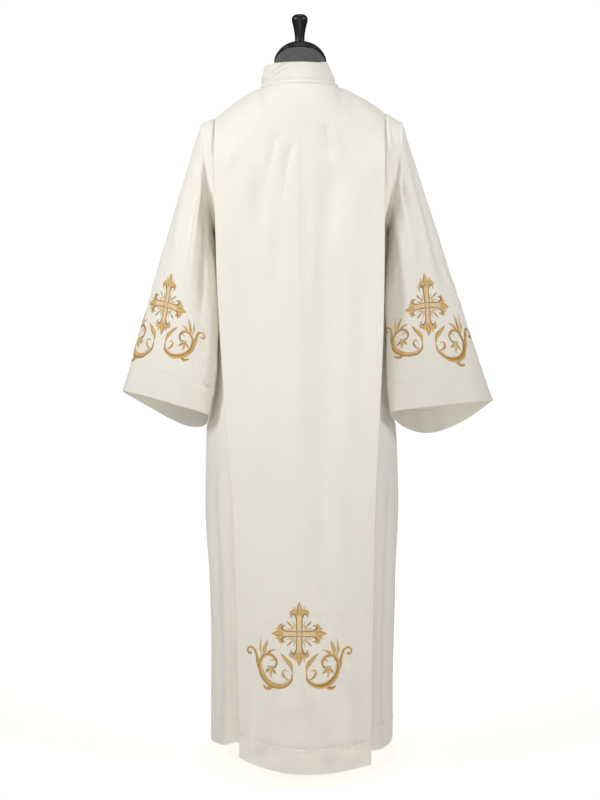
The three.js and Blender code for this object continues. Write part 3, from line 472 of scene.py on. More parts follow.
def stitch_material():
    m, nt, b = new_mat("stitch_thread")
    tc = node(nt, "ShaderNodeTexCoord")
    n = node(nt, "ShaderNodeTexNoise"); n.inputs["Scale"].default_value = 700
    link(nt, tc.outputs["Object"], n.inputs["Vector"])
    mx = node(nt, "ShaderNodeMix", data_type="RGBA")
    mx.inputs["A"].default_value = (0.80, 0.76, 0.67, 1); mx.inputs["B"].default_value = (0.68, 0.63, 0.53, 1)
    link(nt, n.outputs["Fac"], mx.inputs["Factor"]); link(nt, mx.outputs["Result"], b.inputs["Base Color"])
    b.inputs["Roughness"].default_value = 0.6
    return m
STITCHES = stitch_material()

def form_fabric():
    m, nt, b = new_mat("form_fabric")
    tc = node(nt, "ShaderNodeTexCoord")
    w1 = node(nt, "ShaderNodeTexVoronoi", feature="F1"); w1.inputs["Scale"].default_value = 1400
    link(nt, tc.outputs["Object"], w1.inputs["Vector"])
    n = node(nt, "ShaderNodeTexNoise"); n.inputs["Scale"].default_value = 60; n.inputs["Detail"].default_value = 5
    link(nt, tc.outputs["Object"], n.inputs["Vector"])
    mx = node(nt, "ShaderNodeMix", data_type="RGBA")
    mx.inputs["A"].default_value = (0.070, 0.069, 0.071, 1); mx.inputs["B"].default_value = (0.112, 0.110, 0.112, 1)
    link(nt, n.outputs["Fac"], mx.inputs["Factor"]); link(nt, mx.outputs["Result"], b.inputs["Base Color"])
    bump = node(nt, "ShaderNodeBump"); bump.inputs["Strength"].default_value = 0.5; bump.inputs["Distance"].default_value = 0.0003
    link(nt, w1.outputs["Distance"], bump.inputs["Height"]); link(nt, bump.outputs["Normal"], b.inputs["Normal"])
    b.inputs["Roughness"].default_value = 0.9; b.inputs["Sheen Weight"].default_value = 0.3
    return m
def gloss(name, a, c, rough, metallic=0.0, coat=0.0):
    m, nt, b = new_mat(name)
    tc = node(nt, "ShaderNodeTexCoord")
    n = node(nt, "ShaderNodeTexNoise"); n.inputs["Scale"].default_value = 35; n.inputs["Detail"].default_value = 4
    link(nt, tc.outputs["Object"], n.inputs["Vector"])
    mx = node(nt, "ShaderNodeMix", data_type="RGBA")
    mx.inputs["A"].default_value = (*a, 1); mx.inputs["B"].default_value = (*c, 1)
    link(nt, n.outputs["Fac"], mx.inputs["Factor"]); link(nt, mx.outputs["Result"], b.inputs["Base Color"])
    r = node(nt, "ShaderNodeMapRange"); r.inputs["To Min"].default_value = rough * 0.85; r.inputs["To Max"].default_value = rough * 1.2
    link(nt, n.outputs["Fac"], r.inputs["Value"]); link(nt, r.outputs["Result"], b.inputs["Roughness"])
    n2 = node(nt, "ShaderNodeTexNoise"); n2.inputs["Scale"].default_value = 260
    link(nt, tc.outputs["Object"], n2.inputs["Vector"])
    bump = node(nt, "ShaderNodeBump"); bump.inputs["Strength"].default_value = 0.06; bump.inputs["Distance"].default_value = 0.0003
    link(nt, n2.outputs["Fac"], bump.inputs["Height"]); link(nt, bump.outputs["Normal"], b.inputs["Normal"])
    b.inputs["Metallic"].default_value = metallic; b.inputs["Coat Weight"].default_value = coat
    return m
FORM_FABRIC = form_fabric()
FORM_GLOSS = gloss("form_gloss", (0.006, 0.008, 0.007), (0.012, 0.015, 0.013), 0.34, coat=0.0)
next(n for n in FORM_GLOSS.node_tree.nodes if n.type == "BSDF_PRINCIPLED").inputs["Specular IOR Level"].default_value = 0.32
STAND = gloss("stand_metal", (0.018, 0.019, 0.020), (0.030, 0.031, 0.032), 0.45)

# ------------------------------------------------------------------ cloth pieces
sheets = []        # (object, nodes, flat size, held, rests on); nothing in this script adds to it

def panel_disp(bd, X, Z, edge_l, edge_r):
    rows = FOLDS_BACK if bd.side < 0 else FOLDS_FRONT
    D = folds_at(rows, X, Z)
    if bd.side < 0: D = D + dimples_at(DIMPLES_BACK, X, Z)
    seed = 11 if bd.side < 0 else 12
    D = D + 0.55 * ripple(X * 1.7, Z * 0.55, seed, 95) + 0.22 * ripple(X, Z, seed + 5, 38)
    # calmer near the neck and near the folded edges
    w = np.minimum(smooth(0, 26, X - edge_l), smooth(0, 26, edge_r - X))
    return D * mix(0.35, 1.0, w) * smooth(1472, 1440, Z)

def centre_surface(bd, X, d, off, fold=True):
    Z = bd.level(X, d, bd.hem)
    L, R = bd.edge_x("left", d), bd.edge_x("right", d)
    D = panel_disp(bd, np.clip(X, L, R), Z, L, R)
    D = D + hem_relief(LENGTH - d, HEM_DEEP) + 1.15 * stitched(LENGTH - d, HEM_DEEP, X, 81 + (bd.side > 0))
    # pucker ring round the stitched motif
    if bd.side < 0: D = D + pucker(X - MOTIF_X, Z - MOTIF_Z, 31)
    return bd.point(X, off, d, None, D)

MOTIF_X, MOTIF_Z = -1.5, 328.0
def pucker(x, z, seed, k=1.0):
    r = np.sqrt((x / 1.25) ** 2 + ((z + 28) / 1.0) ** 2)
    m = np.exp(-((r - 74) / 34) ** 2)
    return k * m * (0.55 * ripple(x, z, seed, 22, 20) + 0.35 * ripple(x, z, seed + 3, 12, 20))

def centre_panel(bd, name):
    d = rows_down(STEP)
    nr = len(d); l = bd.edge_x("left", d); r = bd.edge_x("right", d)
    ncol = int(360 / STEP)
    # denser columns at the centre crease and at the folded edges
    u = np.linspace(-1, 1, ncol); u = np.sign(u) * (1 - (1 - np.abs(u)) ** 1.0)
    u = np.sort(np.concatenate([u[np.abs(u) > 0.02], [-0.018, -0.009, 0, 0.009, 0.018]]))
    FR = 1.7                                    # radius of the fold that shows
    XA, OA, XB, OB = [], [], [], []
    under = np.linspace(PLEAT_UNDER, FR, 8)
    arc = np.linspace(0, math.pi, 9)[1:-1]
    for sgn, x0 in ((-1, l),):
        for q in under:
            lay = mix(2 * FR, 2 * FOLD_R - 0.3, float(smooth(FR, PLEAT_UNDER, q)))
            XA.append(x0 + q); OA.append(lay); XB.append(x0 + q); OB.append(lay - CLOTH)
        for t in arc[::-1]:
            XA.append(x0 + FR - math.sin(t) * FR); OA.append(FR - math.cos(t) * FR)
            XB.append(x0 + FR - math.sin(t) * (FR - CLOTH)); OB.append(FR - math.cos(t) * (FR - CLOTH))
    for k in u:
        x = mix(l + FR, r - FR, (k + 1) / 2)
        XA.append(x); OA.append(0.0); XB.append(x); OB.append(CLOTH)
    for t in arc:
        XA.append(r - FR + math.sin(t) * FR); OA.append(FR - math.cos(t) * FR)
        XB.append(r - FR + math.sin(t) * (FR - CLOTH)); OB.append(FR - math.cos(t) * (FR - CLOTH))
    for q in under[::-1]:
        lay = mix(2 * FR, 2 * FOLD_R - 0.3, float(smooth(FR, PLEAT_UNDER, q)))
        XA.append(r - q); OA.append(lay); XB.append(r - q); OB.append(lay - CLOTH)
    XA = np.stack([np.broadcast_to(x, (nr,)) for x in XA], 1); XB = np.stack([np.broadcast_to(x, (nr,)) for x in XB], 1)
    OA = np.array(OA)[None, :] * np.ones((nr, 1)); OB = np.array(OB)[None, :] * np.ones((nr, 1))
    dd = d[:, None] * np.ones((1, XA.shape[1]))
    A = centre_surface(bd, XA, dd, OA); B = centre_surface(bd, XB, dd, OB)
    B[-1] = A[-1] + (B[-1] - A[-1])
    du = np.zeros(XA.shape); du[:, 1:] = np.cumsum(np.linalg.norm(np.diff(A, axis=1), axis=2), axis=1)
    du -= du[:, [du.shape[1] // 2]]
    return shell(name, A, B, IVORY, uv=np.stack([du, -dd], -1) / 1000)

# side panels -----------------------------------------------------
SIDE_FOLD_COLS = "w0 z0 w1 z1 wide deep in0 out1"   # w: share from the pleat seam to the side seam
SIDE_FOLDS = {
  ("left", -1): table(SIDE_FOLD_COLS, [
    (0.62, 760, 0.60, 60, 0.10, 5.0, 0.3, 0.1), (0.78, 700, 0.80, 50, 0.08, -4.0, 0.3, 0.1),
    (0.90, 640, 0.93, 60, 0.07, 3.5, 0.3, 0.1), (0.50, 420, 0.52, 50, 0.08, -4.0, 0.4, 0.1)]),
  ("right", -1): table(SIDE_FOLD_COLS, [
    (0.60, 740, 0.62, 60, 0.10, 5.0, 0.3, 0.1), (0.74, 690, 0.72, 50, 0.09, -5.0, 0.3, 0.1),
    (0.88, 600, 0.90, 60, 0.07, 4.5, 0.3, 0.1), (0.48, 450, 0.50, 50, 0.08, -4.0, 0.4, 0.1)]),
  ("left", 1): table(SIDE_FOLD_COLS, [
    (0.55, 800, 0.58, 60, 0.11, 5.0, 0.3, 0.1), (0.80, 760, 0.76, 50, 0.09, -5.0, 0.3, 0.1),
    (0.38, 600, 0.40, 60, 0.08, -3.0, 0.3, 0.1)]),
  ("right", 1): table(SIDE_FOLD_COLS, [
    (0.58, 820, 0.55, 60, 0.11, 5.0, 0.3, 0.1), (0.76, 700, 0.80, 50, 0.09, -5.0, 0.3, 0.1),
    (0.36, 560, 0.36, 60, 0.08, -3.0, 0.3, 0.1)])}

def side_base(bd, hand, w, d, extra=0.0):
    sgn = -1 if hand == "left" else 1
    w, d = np.broadcast_arrays(w, d)
    ox, oy, oz = bd.outer(hand, d)
    inX = bd.edge_x(hand, d) - sgn * PLEAT_UNDER
    shadow = PLEAT_UNDER / np.abs(ox - inX)
    x = mix(inX, ox, w)
    start = 2 * FOLD_R + SEAM + 0.45 * smooth(300, 1000, d) + 0.25
    # at the shoulder the cloth is level again just past the back's fold
    near = 1 - smooth(40, 190, d); reach = np.abs(ox - inX)
    fold = mix(np.minimum(0.82, shadow), np.abs(BACK.edge_x(hand, d) - inX) / reach, near)
    level = mix(1.0, np.minimum(1.0, fold + 7.5 / reach), near)
    lay = mix(start, mix(2 * PLEAT_GAP + 1.2, start, near), smooth(0, 0.07, w)) * (1 - smooth01(fold, level, w)) + extra
    on_top = bd.point(x, lay, d, bd.side_hem); first = bd.point(inX, start + extra, d, bd.side_hem)
    z = bd.level(x, d, bd.side_hem); zr = np.clip(z, 30, 1150); p = bd.s["round"](zr)
    recess = bd.s["recess"](zr) * smooth01(0.0, np.maximum(0.2, shadow * 0.9), w)
    recess = recess + 7.0 * smooth(0.45, 0.8, w) * np.exp(-((z - 1085) / 75) ** 2)
    rise = 1 - np.power(np.maximum(0, 1 - np.power(w, p)), 1 / p)
    out = (10.0 if hand == "right" else 6.0) * (bd.side < 0)     # the cloth stays near the panel until under the arm
    recess = recess - out * smooth(0.25, 0.6, w) * (1 - smooth(0.9, 1.0, w)) * np.exp(-((z - 1200) / 42) ** 2)
    base = mix(on_top[..., 1], first[..., 1], smooth01(shadow, 1.0, w) * smooth(200, 420, d))
    dy = (base - bd.side * recess) * (1 - rise) + (oy - bd.side * extra * 0.5) * rise
    direct = np.stack([x, dy, mix(on_top[..., 2], z, smooth(60, 140, d))], -1)
    k = smooth(60, 170, d)[..., None]
    return on_top * (1 - k) + direct * k
def smooth01(a, b, v):
    t = np.clip((v - a) / (b - a), 0, 1); return t * t * (3 - 2 * t)

def side_panel(bd, hand, name):
    sgn = -1 if hand == "left" else 1
    d = rows_down(STEP * 1.3)
    w = np.concatenate([np.linspace(0, 0.1, 5)[:-1], np.linspace(0.1, 0.82, int(150 / STEP))[:-1], np.linspace(0.82, 1, int(60 / STEP))])
    W, D = np.meshgrid(w, d)
    P = side_base(bd, hand, W, D)
    u = side_base(bd, hand, np.clip(W + 0.004, 0, 1), D) - side_base(bd, hand, np.clip(W - 0.004, 0, 1), D)
    v = side_base(bd, hand, W, D + 0.5) - side_base(bd, hand, W, np.maximum(0, D - 0.5))
    n = np.cross(u, v); n /= np.linalg.norm(n, axis=2, keepdims=True) + 1e-12
    # outward: away from the middle of the body
    c = P - np.array([0, 0, 0]); c[..., 2] = 0
    flip = np.sign(np.sum(n * np.stack([P[..., 0], P[..., 1] - 5, np.full(P.shape[:2], 40.0)], -1), axis=2, keepdims=True)); n = n * flip
    Z = P[..., 2]
    disp = np.zeros(W.shape)
    for r in SIDE_FOLDS[(hand, bd.side)]:
        s = np.clip((r["z0"] - Z) / (r["z0"] - r["z1"]), 0, 1)
        env = smooth(0, r["in0"], s) * (1 - 0.6 * smooth(1 - r["out1"], 1, s))
        disp += r["deep"] * np.exp(-((W - mix(r["w0"], r["w1"], s)) / r["wide"]) ** 2) * env
    disp += 0.5 * ripple(P[..., 0] * 1.5, Z * 0.5, 40 + (bd.side > 0) * 2 + (sgn > 0), 90)
    # small gathers near the armhole
    disp += 0.9 * np.exp(-((W - 0.80) / 0.2) ** 2) * smooth(10, 60, D) * (1 - smooth(130, 230, D)) * np.sin(P[..., 0] * 0.34 + Z * 0.06 + sgn)
    disp *= smooth(0.02, 0.22, W) * (1 - smooth(0.97, 1.0, W)) * smooth(0, 30, D)
    disp += hem_relief(LENGTH - D, HEM_DEEP) + 0.9 * stitched(LENGTH - D, HEM_DEEP, W * 150, 85 + (bd.side > 0) * 2 + (sgn > 0)) * smooth(0, 0.1, W) * (1 - smooth(0.96, 1, W))
    A = P + n * disp[..., None]
    B = P + n * (disp[..., None] - CLOTH)
    m = D >= 242
    edge = W >= 0.9999
    for G in (A, B):
        G[..., 1] += bd.side * (SEAM / 2) * (m & edge)
        G[..., 1] += bd.side * SEAM / 2
    uv = np.stack([np.cumsum(np.concatenate([np.zeros((len(d), 1)), np.linalg.norm(np.diff(A, axis=1), axis=2)], 1), 1), -D], -1) / 1000
    return shell(name, A, B, IVORY, uv=uv)

# sleeves ----------------------------------------------------------
SLEEVE_FOLD_COLS = "c0 t0 c1 t1 wide deep in0 out1"   # c: 1 outer edge .. -1 inner edge, t: row of the sleeve table
SLEEVE_FOLDS = {
  "left": {"back": table(SLEEVE_FOLD_COLS, [
      (0.52, 0.75, 0.18, 4.0, 10, -8.5, 0.2, 0.55), (0.12, 0.7, -0.10, 4.4, 13, 7.0, 0.2, 0.5),
      (-0.40, 0.9, -0.52, 5.0, 12, -7.0, 0.2, 0.5), (0.74, 1.6, 0.60, 4.6, 14, 4.5, 0.4, 0.5),
      (-0.80, 1.2, -0.80, 6.2, 8, 4.5, 0.2, 0.4), (0.42, 6.0, 0.48, 8.0, 22, -4.5, 0.5, 0.05),
      (-0.20, 6.0, -0.30, 8.0, 24, 4.5, 0.5, 0.05), (0.86, 5.6, 0.88, 8.0, 12, 3.0, 0.5, 0.05),
      (-0.70, 6.4, -0.72, 8.0, 14, -2.5, 0.5, 0.05), (0.02, 5.7, 0.06, 6.9, 7, -2.4, 0.5, 0.4)]),
    "front": table(SLEEVE_FOLD_COLS, [
      (0.5, 1.0, 0.4, 5.0, 18, -5.0, 0.3, 0.5), (-0.1, 1.0, -0.1, 6.0, 20, 5.0, 0.3, 0.5),
      (-0.5, 2.0, -0.45, 8.0, 18, -4.0, 0.4, 0.05), (0.3, 5.0, 0.3, 8.0, 24, 4.0, 0.5, 0.05)])},
  "right": {"back": table(SLEEVE_FOLD_COLS, [
      (0.24, 0.7, -0.02, 4.4, 11, -10.0, 0.2, 0.5), (0.86, 0.8, 0.72, 5.0, 12, -5.0, 0.3, 0.5),
      (-0.36, 0.8, -0.46, 5.0, 15, 8.5, 0.2, 0.5), (0.55, 1.2, 0.46, 4.8, 16, 6.0, 0.3, 0.5),
      (-0.84, 1.0, -0.84, 5.6, 9, -1.5, 0.3, 0.4), (-0.30, 5.8, -0.34, 8.0, 26, 4.0, 0.5, 0.05),
      (0.30, 6.2, 0.34, 8.0, 22, -4.0, 0.5, 0.05), (0.70, 5.8, 0.72, 8.0, 20, 3.5, 0.5, 0.05)]),
    "front": table(SLEEVE_FOLD_COLS, [
      (0.4, 1.0, 0.35, 5.0, 18, -5.0, 0.3, 0.5), (-0.2, 1.0, -0.15, 6.0, 20, 5.0, 0.3, 0.5),
      (-0.55, 2.0, -0.5, 8.0, 18, -4.0, 0.4, 0.05), (0.2, 5.0, 0.25, 8.0, 24, 4.0, 0.5, 0.05)])}}
MOTIF_AT = {"left": (4.57, 60.7, 12.0), "right": (4.25, 81.7, -4.0)}     # row and angle of each sleeve motif's centre, its tilt

NEAR_CUFF = 78.0
SEAM_INSIDE = {"left": -0.60, "right": 0.0}      # where the sleeve seam shows inside the cuff
class Sleeve:
    def __init__(s, hand):
        s.hand = hand; s.sgn = -1 if hand == "left" else 1
        s.c = {k: curve(SLEEVE[hand], "row", k) for k in SLEEVE_COLS.split()[1:]}
        tt = np.linspace(0, 8, 200); P = s.base(tt, np.full(200, math.pi / 2))
        s.len_t = tt; s.len_s = np.concatenate([[0], np.cumsum(np.linalg.norm(np.diff(P, axis=0), axis=1))])
        s.total = s.len_s[-1]
        s.ring_a = np.linspace(0, 2 * math.pi, 181)
        s.ring_r = np.linalg.norm(s.base(np.full(181, 8.0), s.ring_a) - s.base(np.full(181, 7.2), s.ring_a), axis=1) / (s.total - s.s_of(7.2))
        # the armhole's edge, down the back and up the front, by its direction from the middle of the hole
        dd = np.linspace(0, 241.5, 120); one = np.ones(120)
        E = np.vstack([side_base(BACK, hand, one, dd), side_base(FRONT, hand, one, dd)[::-1][:-1]])
        R = s.base(np.zeros(181), s.ring_a); s.mid = R[:-1].mean(0)
        phi = np.arctan2(E[:, 1] - s.mid[1], E[:, 2] - s.mid[2]); k = np.argsort(phi); E = E[k]; phi = phi[k]
        s.phi = np.concatenate([phi - 2 * math.pi, phi, phi + 2 * math.pi]); s.edge = np.vstack([E, E, E])
    def sewn(s, a):
        """from the head's own ring to the armhole's edge, where it is sewn"""
        R = s.base(np.zeros(np.shape(a)), a); f = np.arctan2(R[..., 1] - s.mid[1], R[..., 2] - s.mid[2])
        E = np.stack([np.interp(f, s.phi, s.edge[:, i]) for i in range(3)], -1); E[..., 0] += SEAM * s.sgn
        return E - R
    def ratio(s, a): return np.interp(np.mod(a, 2 * math.pi), s.ring_a, s.ring_r)
    def t_up(s, q, a):
        """row at q mm above the cuff's edge, measured down the cloth at this angle"""
        r = s.ratio(a)
        u = np.where(q <= NEAR_CUFF, q / r, NEAR_CUFF / r + (q - NEAR_CUFF) * (s.total - NEAR_CUFF / r) / (s.total - NEAR_CUFF))
        return s.t_of(s.total - u)
    def up(s, t, a):
        u = s.total - s.s_of(t); q = u * s.ratio(a)
        return np.where(q <= NEAR_CUFF, q, 999.0)
    def t_of(s, dist): return np.interp(dist, s.len_s, s.len_t)
    def s_of(s, t): return np.interp(t, s.len_t, s.len_s)
    def base(s, t, a):
        t, a = np.broadcast_arrays(t, a); c = s.c
        o = np.stack([c["ox"](t), c["oy"](t), c["oz"](t)], -1); i = np.stack([c["ix"](t), c["iy"](t), c["iz"](t)], -1)
        co, si = np.cos(a), np.sin(a)
        y = np.where(si > 0, -c["back"](t) * si, -c["front"](t) * si)
        lift = np.where(si > 0, c["back_up"](t) * si, -c["sag"](t) * np.maximum(0, -si) ** SAG_PEAK[s.hand] * (1 - SAG_SKEW[s.hand] * co))
        P = (o + i) / 2 + (o - i) / 2 * co[..., None]
        P[..., 1] += y; P[..., 2] += lift; P[..., 0] += SEAM * s.sgn
        return P
    def normal(s, t, a):
        u = s.base(t, a + 0.01) - s.base(t, a - 0.01)
        v = s.base(np.minimum(8, t + 0.05), a) - s.base(np.maximum(0, t - 0.05), a)
        n = np.cross(u, v); n /= np.linalg.norm(n, axis=-1, keepdims=True) + 1e-12
        m = (s.base(t, np.zeros_like(a)) + s.base(t, np.full_like(a, math.pi))) / 2
        return n * np.sign(np.sum(n * (s.base(t, a) - m), -1, keepdims=True))
    def disp(s, t, a):
        co, si = np.cos(a), np.sin(a)
        half = np.linalg.norm(s.base(t, np.zeros_like(a)) - s.base(t, np.full_like(a, math.pi)), axis=-1) / 2
        D = np.zeros(np.broadcast(t, a).shape)
        for part, sel in (("back", si > 0), ("front", si <= 0)):
            for r in SLEEVE_FOLDS[s.hand][part]:
                q = np.clip((t - r["t0"]) / (r["t1"] - r["t0"]), 0, 1)
                env = smooth(0, r["in0"], q) * (1 - smooth(1 - r["out1"], 1.0001, q) * (0.0 if r["t1"] >= 8 else 1.0)) * (t >= r["t0"]) * ((t <= r["t1"]) | (r["t1"] >= 8))
                D = D + sel * r["deep"] * np.exp(-(((co - mix(r["c0"], r["c1"], q)) * half) / r["wide"]) ** 2) * env
        D = D * smooth(0.0, 0.35, np.abs(si))
        S = s.s_of(t); X = co * half * np.sign(si)
        seed = 60 + (s.sgn > 0)
        D = D + 0.7 * ripple(X * 1.3, S * 0.6, seed, 80) * smooth(20, 90, S)
        D = D + 0.25 * ripple(X, S, seed + 9, 34) * smooth(20, 60, S)
        # stitched motif draws the cloth in
        tm, am, _ = MOTIF_AT[s.hand]; am = math.radians(am)
        mx = (a - am) * half * 0.8; mz = S - s.s_of(tm)
        D = D + pucker(mx, -mz, 70 + (s.sgn > 0), 1.3) * (si > -0.2)
        if s.hand == "left":                     # star of small creases near the inner edge
            cx, cz = (co + 0.80) * half, S - s.s_of(6.05)
            for ang in (0.2, 0.9, 2.2, 2.9):
                D = D + (si > 0) * 3.0 * np.exp(-((cx * math.sin(ang) - cz * math.cos(ang)) / 2.6) ** 2) * np.exp(-(cx ** 2 + cz ** 2) / 18 ** 2)
        else:                                    # a short crease down the cuff
            cx = (co - 0.02) * half
            D = D - (si > 0) * 1.6 * np.exp(-(cx / 2.2) ** 2) * smooth(s.total - CUFF_DEEP - 2, s.total - CUFF_DEEP + 10, S)
        D = D * smooth(0, 26, S)
        D = D + 5.0 * np.exp(-((co + 1) / 0.16) ** 2) * smooth(0.15, 0.9, t) * (1 - smooth(3.0, 4.6, t))    # lies against the body under the arm
        q = s.up(t, a)
        D = D + hem_relief(q, CUFF_DEEP) + 0.8 * stitched(q, CUFF_DEEP, a * half * 0.8, 91 + (s.sgn > 0))
        sx = (co - SEAM_INSIDE[s.hand]) * half
        D = D - (si < 0) * 1.3 * (smooth(-7.5, -4.0, sx) - smooth(4.0, 7.5, sx)) * smooth(60, 140, S) * smooth(0.05, 0.3, np.abs(si))
        return D
    def at(s, t, a, out=0.0):
        t = np.asarray(t, float); a = np.asarray(a, float)
        t, a = np.broadcast_arrays(t, a)
        return s.base(t, a) + s.normal(t, a) * (s.disp(t, a) + out)[..., None] + s.sewn(a) * (1 - smooth(0, 62, s.s_of(t)))[..., None]

def sleeve(hand, name):
    s = Sleeve(hand)
    nt = int(s.total / STEP); dist = np.linspace(0, s.total, nt)
    k = s.total - CUFF_DEEP
    dist = np.sort(np.concatenate([dist[(dist < k - 3.4) | (dist > k + 3.4)], [k - 2.4, k - 1, k, k + 1, k + 2.4]]))
    na = int(560 / STEP)
    # even steps round the ring, closer at the two turned edges
    q = np.linspace(0, 2 * math.pi, na, endpoint=False)
    a = q - 0.32 * np.sin(2 * q)
    Q, Ang = np.meshgrid(s.total - dist, a, indexing="ij"); T = s.t_up(Q, Ang)
    A = s.at(T, Ang, 0.0); B = s.at(T, Ang, -CLOTH)
    A[0] = s.base(T[0], Ang[0]) + s.sewn(Ang[0])
    circ = np.cumsum(np.concatenate([np.zeros((len(dist), 1)), np.linalg.norm(np.diff(A, axis=1), axis=2)], 1), 1)
    uv = np.stack([circ, -np.broadcast_to(dist[:, None], circ.shape)], -1) / 1000
    ob = shell(name, A, B, IVORY, loop=True, uv=uv)
    return ob, s

# collar -----------------------------------------------------------
def collar_point(a, h, out):
    """a: angle from the centre front through the right side; h: 0 seam .. 1 top; out: mm outward"""
    s, c = np.sin(a), np.cos(a); x = NECK["rx"] * s
    bx = x - s * SEAM
    by = np.where(c < 0, BACK.top_y(x), FRONT.top_y(x)) - c * SEAM
    bz = np.where(c < 0, BACK.top_z(x), FRONT.top_z(x))
    t = COLLAR_TOP
    rx = np.where(s > 0, t["right"] * s, -t["left"] * s)
    ry = np.where(c > 0, NECK["y"] + (t["front"] - NECK["y"]) * c, NECK["y"] - (t["back"] - NECK["y"]) * c)
    ends = np.where(s > 0, t["zRight"], t["zLeft"])
    tz = np.where(c < 0, mix(ends, t["zBack"], smooth(0, 0.75, c * c)), mix(ends, t["zFront"], smooth(0, 1, c)))
    k = np.maximum(0, h)
    # the left end of the back stands away from the neck and bends
    away = np.exp(-((a - math.radians(262)) / 0.42) ** 2)
    P = np.stack([mix(bx, rx, k), mix(by, ry, k), np.where(h < 0, bz + 1.5 * h, mix(bz, tz, k))], -1)
    P[..., 0] -= away * 3.0 * np.sin(k * math.pi) ; P[..., 1] -= away * 5.0 * k
    # rolled seam at the foot, a shallow hollow over it
    roll = 2.9 * np.exp(-((k * 48 - 4.2) / 2.1) ** 2) - 1.9 * np.exp(-((k * 48 - 9.4) / 3.0) ** 2)
    # diagonal creases on the left side
    q = (a - math.radians(238)) * 78
    crease = np.zeros_like(a + h)
    for off, amp, wid in ((49, 2.6, 3.2), (37, -2.8, 3.0), (25, 2.4, 3.0), (13, -2.0, 3.0), (62, -2.2, 4.0), (76, 1.2, 4.5)):
        crease = crease + amp * np.exp(-(((q + k * 95 - off) / 2.22) / wid) ** 2) * smooth(0.12, 0.35, k) * smooth(-60, -44, q)
    # soft hollows at the back and right
    for ca, amp, wid, hc in ((185, -2.8, 15, 0.60), (150, 1.0, 16, 0.5), (128, -1.1, 14, 0.55), (208, 1.2, 12, 0.45), (100, 0.8, 14, 0.4), (40, 0.9, 14, 0.5), (320, -1.0, 14, 0.5)):
        crease = crease + amp * np.exp(-((a - math.radians(ca)) * 78 / wid) ** 2 - ((k - hc) / 0.33) ** 2)
    edge = -0.5 * np.exp(-((k * 48 - 45.5) / 0.9) ** 2) * (k < 0.99)       # stitch line below the top edge
    o = out + roll + crease + edge
    P[..., 0] += s * o; P[..., 1] += c * o
    return P

def collar_piece():
    n = int(490 / (STEP * 0.55)); gap = 0.010
    a = np.linspace(gap, 2 * math.pi - gap, n)
    h = np.concatenate([[-1, -0.3], np.linspace(0, 1, 30)])
    H, Aa = np.meshgrid(h, a, indexing="ij")
    A = collar_point(Aa, H, 0.0); B = collar_point(Aa, H, -1.5)
    # round the top edge a little
    A[-1] = A[-1] * 0.8 + B[-1] * 0.2; B[-1] = B[-1] * 0.8 + A[-1] * 0.2
    A[-1, :, 2] -= 0.3; B[-1, :, 2] -= 0.3
    return shell("alb_collar", A, B, IVORY)

def placket_piece():
    bd = FRONT; half = 17.0
    d = np.concatenate([np.linspace(1.5, 30, 12), np.linspace(34, 396, 60)])
    x = np.array([-0.35, -0.345, -0.2, 0, 0.2, 0.4, 0.6, 0.645, 0.65]) * 34
    x = np.sort(np.concatenate([np.linspace(-0.35 * 34, 0.65 * 34, 16), [-11.2, 21.4]]))
    D, X = np.meshgrid(d, x, indexing="ij")
    Z = bd.level(X, D, bd.hem)
    L, R = bd.edge_x("left", D), bd.edge_x("right", D)
    base = panel_disp(bd, X, Z, L, R)
    edge = 0.35 * np.exp(-((np.abs(X - 5.1) - 17.0) / 1.0) ** 2) * 0
    line = -0.45 * np.exp(-((X - 18.6) / 0.9) ** 2) - 0.45 * np.exp(-((D - 386) / 0.9) ** 2)
    A = bd.point(X, -1.55, D, None, base + line); B = bd.point(X, -0.5, D, None, base)
    A[..., 1] += SEAM / 2; B[..., 1] += SEAM / 2
    return shell("alb_front_placket", A, B, IVORY)

# ------------------------------------------------------------------ stitched motif
# sizes in mm round the centre of the cross, u to the right and v up; every part is a
# padded ribbon of thread along a curve with a table of widths
DEEP, MID, LIGHT, PALE = (0.40, 0.19, 0.022), (0.60, 0.34, 0.065), (0.80, 0.57, 0.24), (0.86, 0.66, 0.42)
GREEN = (0.42, 0.55, 0.20)
# colours across each ribbon, edge, middle, edge: the gold thread's own shades, with a painted shade along the first
# edge and a painted highlight along the other
THREAD_COLOURS_AND_PAINTED_LIGHT = {"deep": (DEEP, DEEP, MID), "mid": (DEEP, MID, LIGHT), "light": (MID, LIGHT, LIGHT),
         "pale": (LIGHT, PALE, PALE), "green": (GREEN, (0.50, 0.62, 0.28), (0.56, 0.66, 0.34)),
         "leaf": (DEEP, LIGHT, MID), "stem": (DEEP, MID, PALE)}
W_STEM = [(0, 1.2), (0.13, 7.0), (0.34, 11.0), (0.55, 9.0), (0.8, 6.0), (1, 3.2)]
W_LEAF = [(0, 1.4), (0.4, 8.6), (0.75, 6.0), (1, 0.6)]
W_RAY = [(0, 1.2), (0.7, 4.4), (1, 1.2)]
W_SMALL = [(0, 1.0), (0.6, 3.0), (1, 0.8)]
ARM = [   # colour scheme (thread shades with a painted shade and highlight across the ribbon), height, widths, points (p across the arm, q outward), mirrored?
    ("pale", 0.8, [(0, 11.5), (0.45, 10.2), (0.8, 13), (1, 17)], [(0, 4), (0, 24), (0, 43)], False),
    ("deep", 0.9, [(0, 1.6), (0.5, 2.4), (0.8, 3.8), (1, 1.2)], [(6.2, 6.5), (5.6, 20), (6.6, 33), (10.2, 40.5), (15.0, 41), (17.6, 36.8), (15.4, 33.2)], True),
    ("leaf", 0.9, [(0, 2.0), (0.45, 8.0), (0.8, 5.0), (1, 0.7)], [(4.5, 39), (9.5, 46), (16.0, 46.8), (21, 40.6)], True),
    ("light", 0.9, [(0, 2.0), (0.5, 6.6), (1, 0.7)], [(3.6, 43), (8.8, 50), (10.6, 58)], True),
    ("leaf", 1.0, [(0, 9.0), (0.4, 13.5), (0.75, 8.0), (1, 0.6)], [(0, 40), (0, 54), (0, 67)], False),
    ("deep", 1.5, [(0, 0.9), (0.5, 1.8), (1, 0.6)], [(0, 38), (0, 60)], False)]
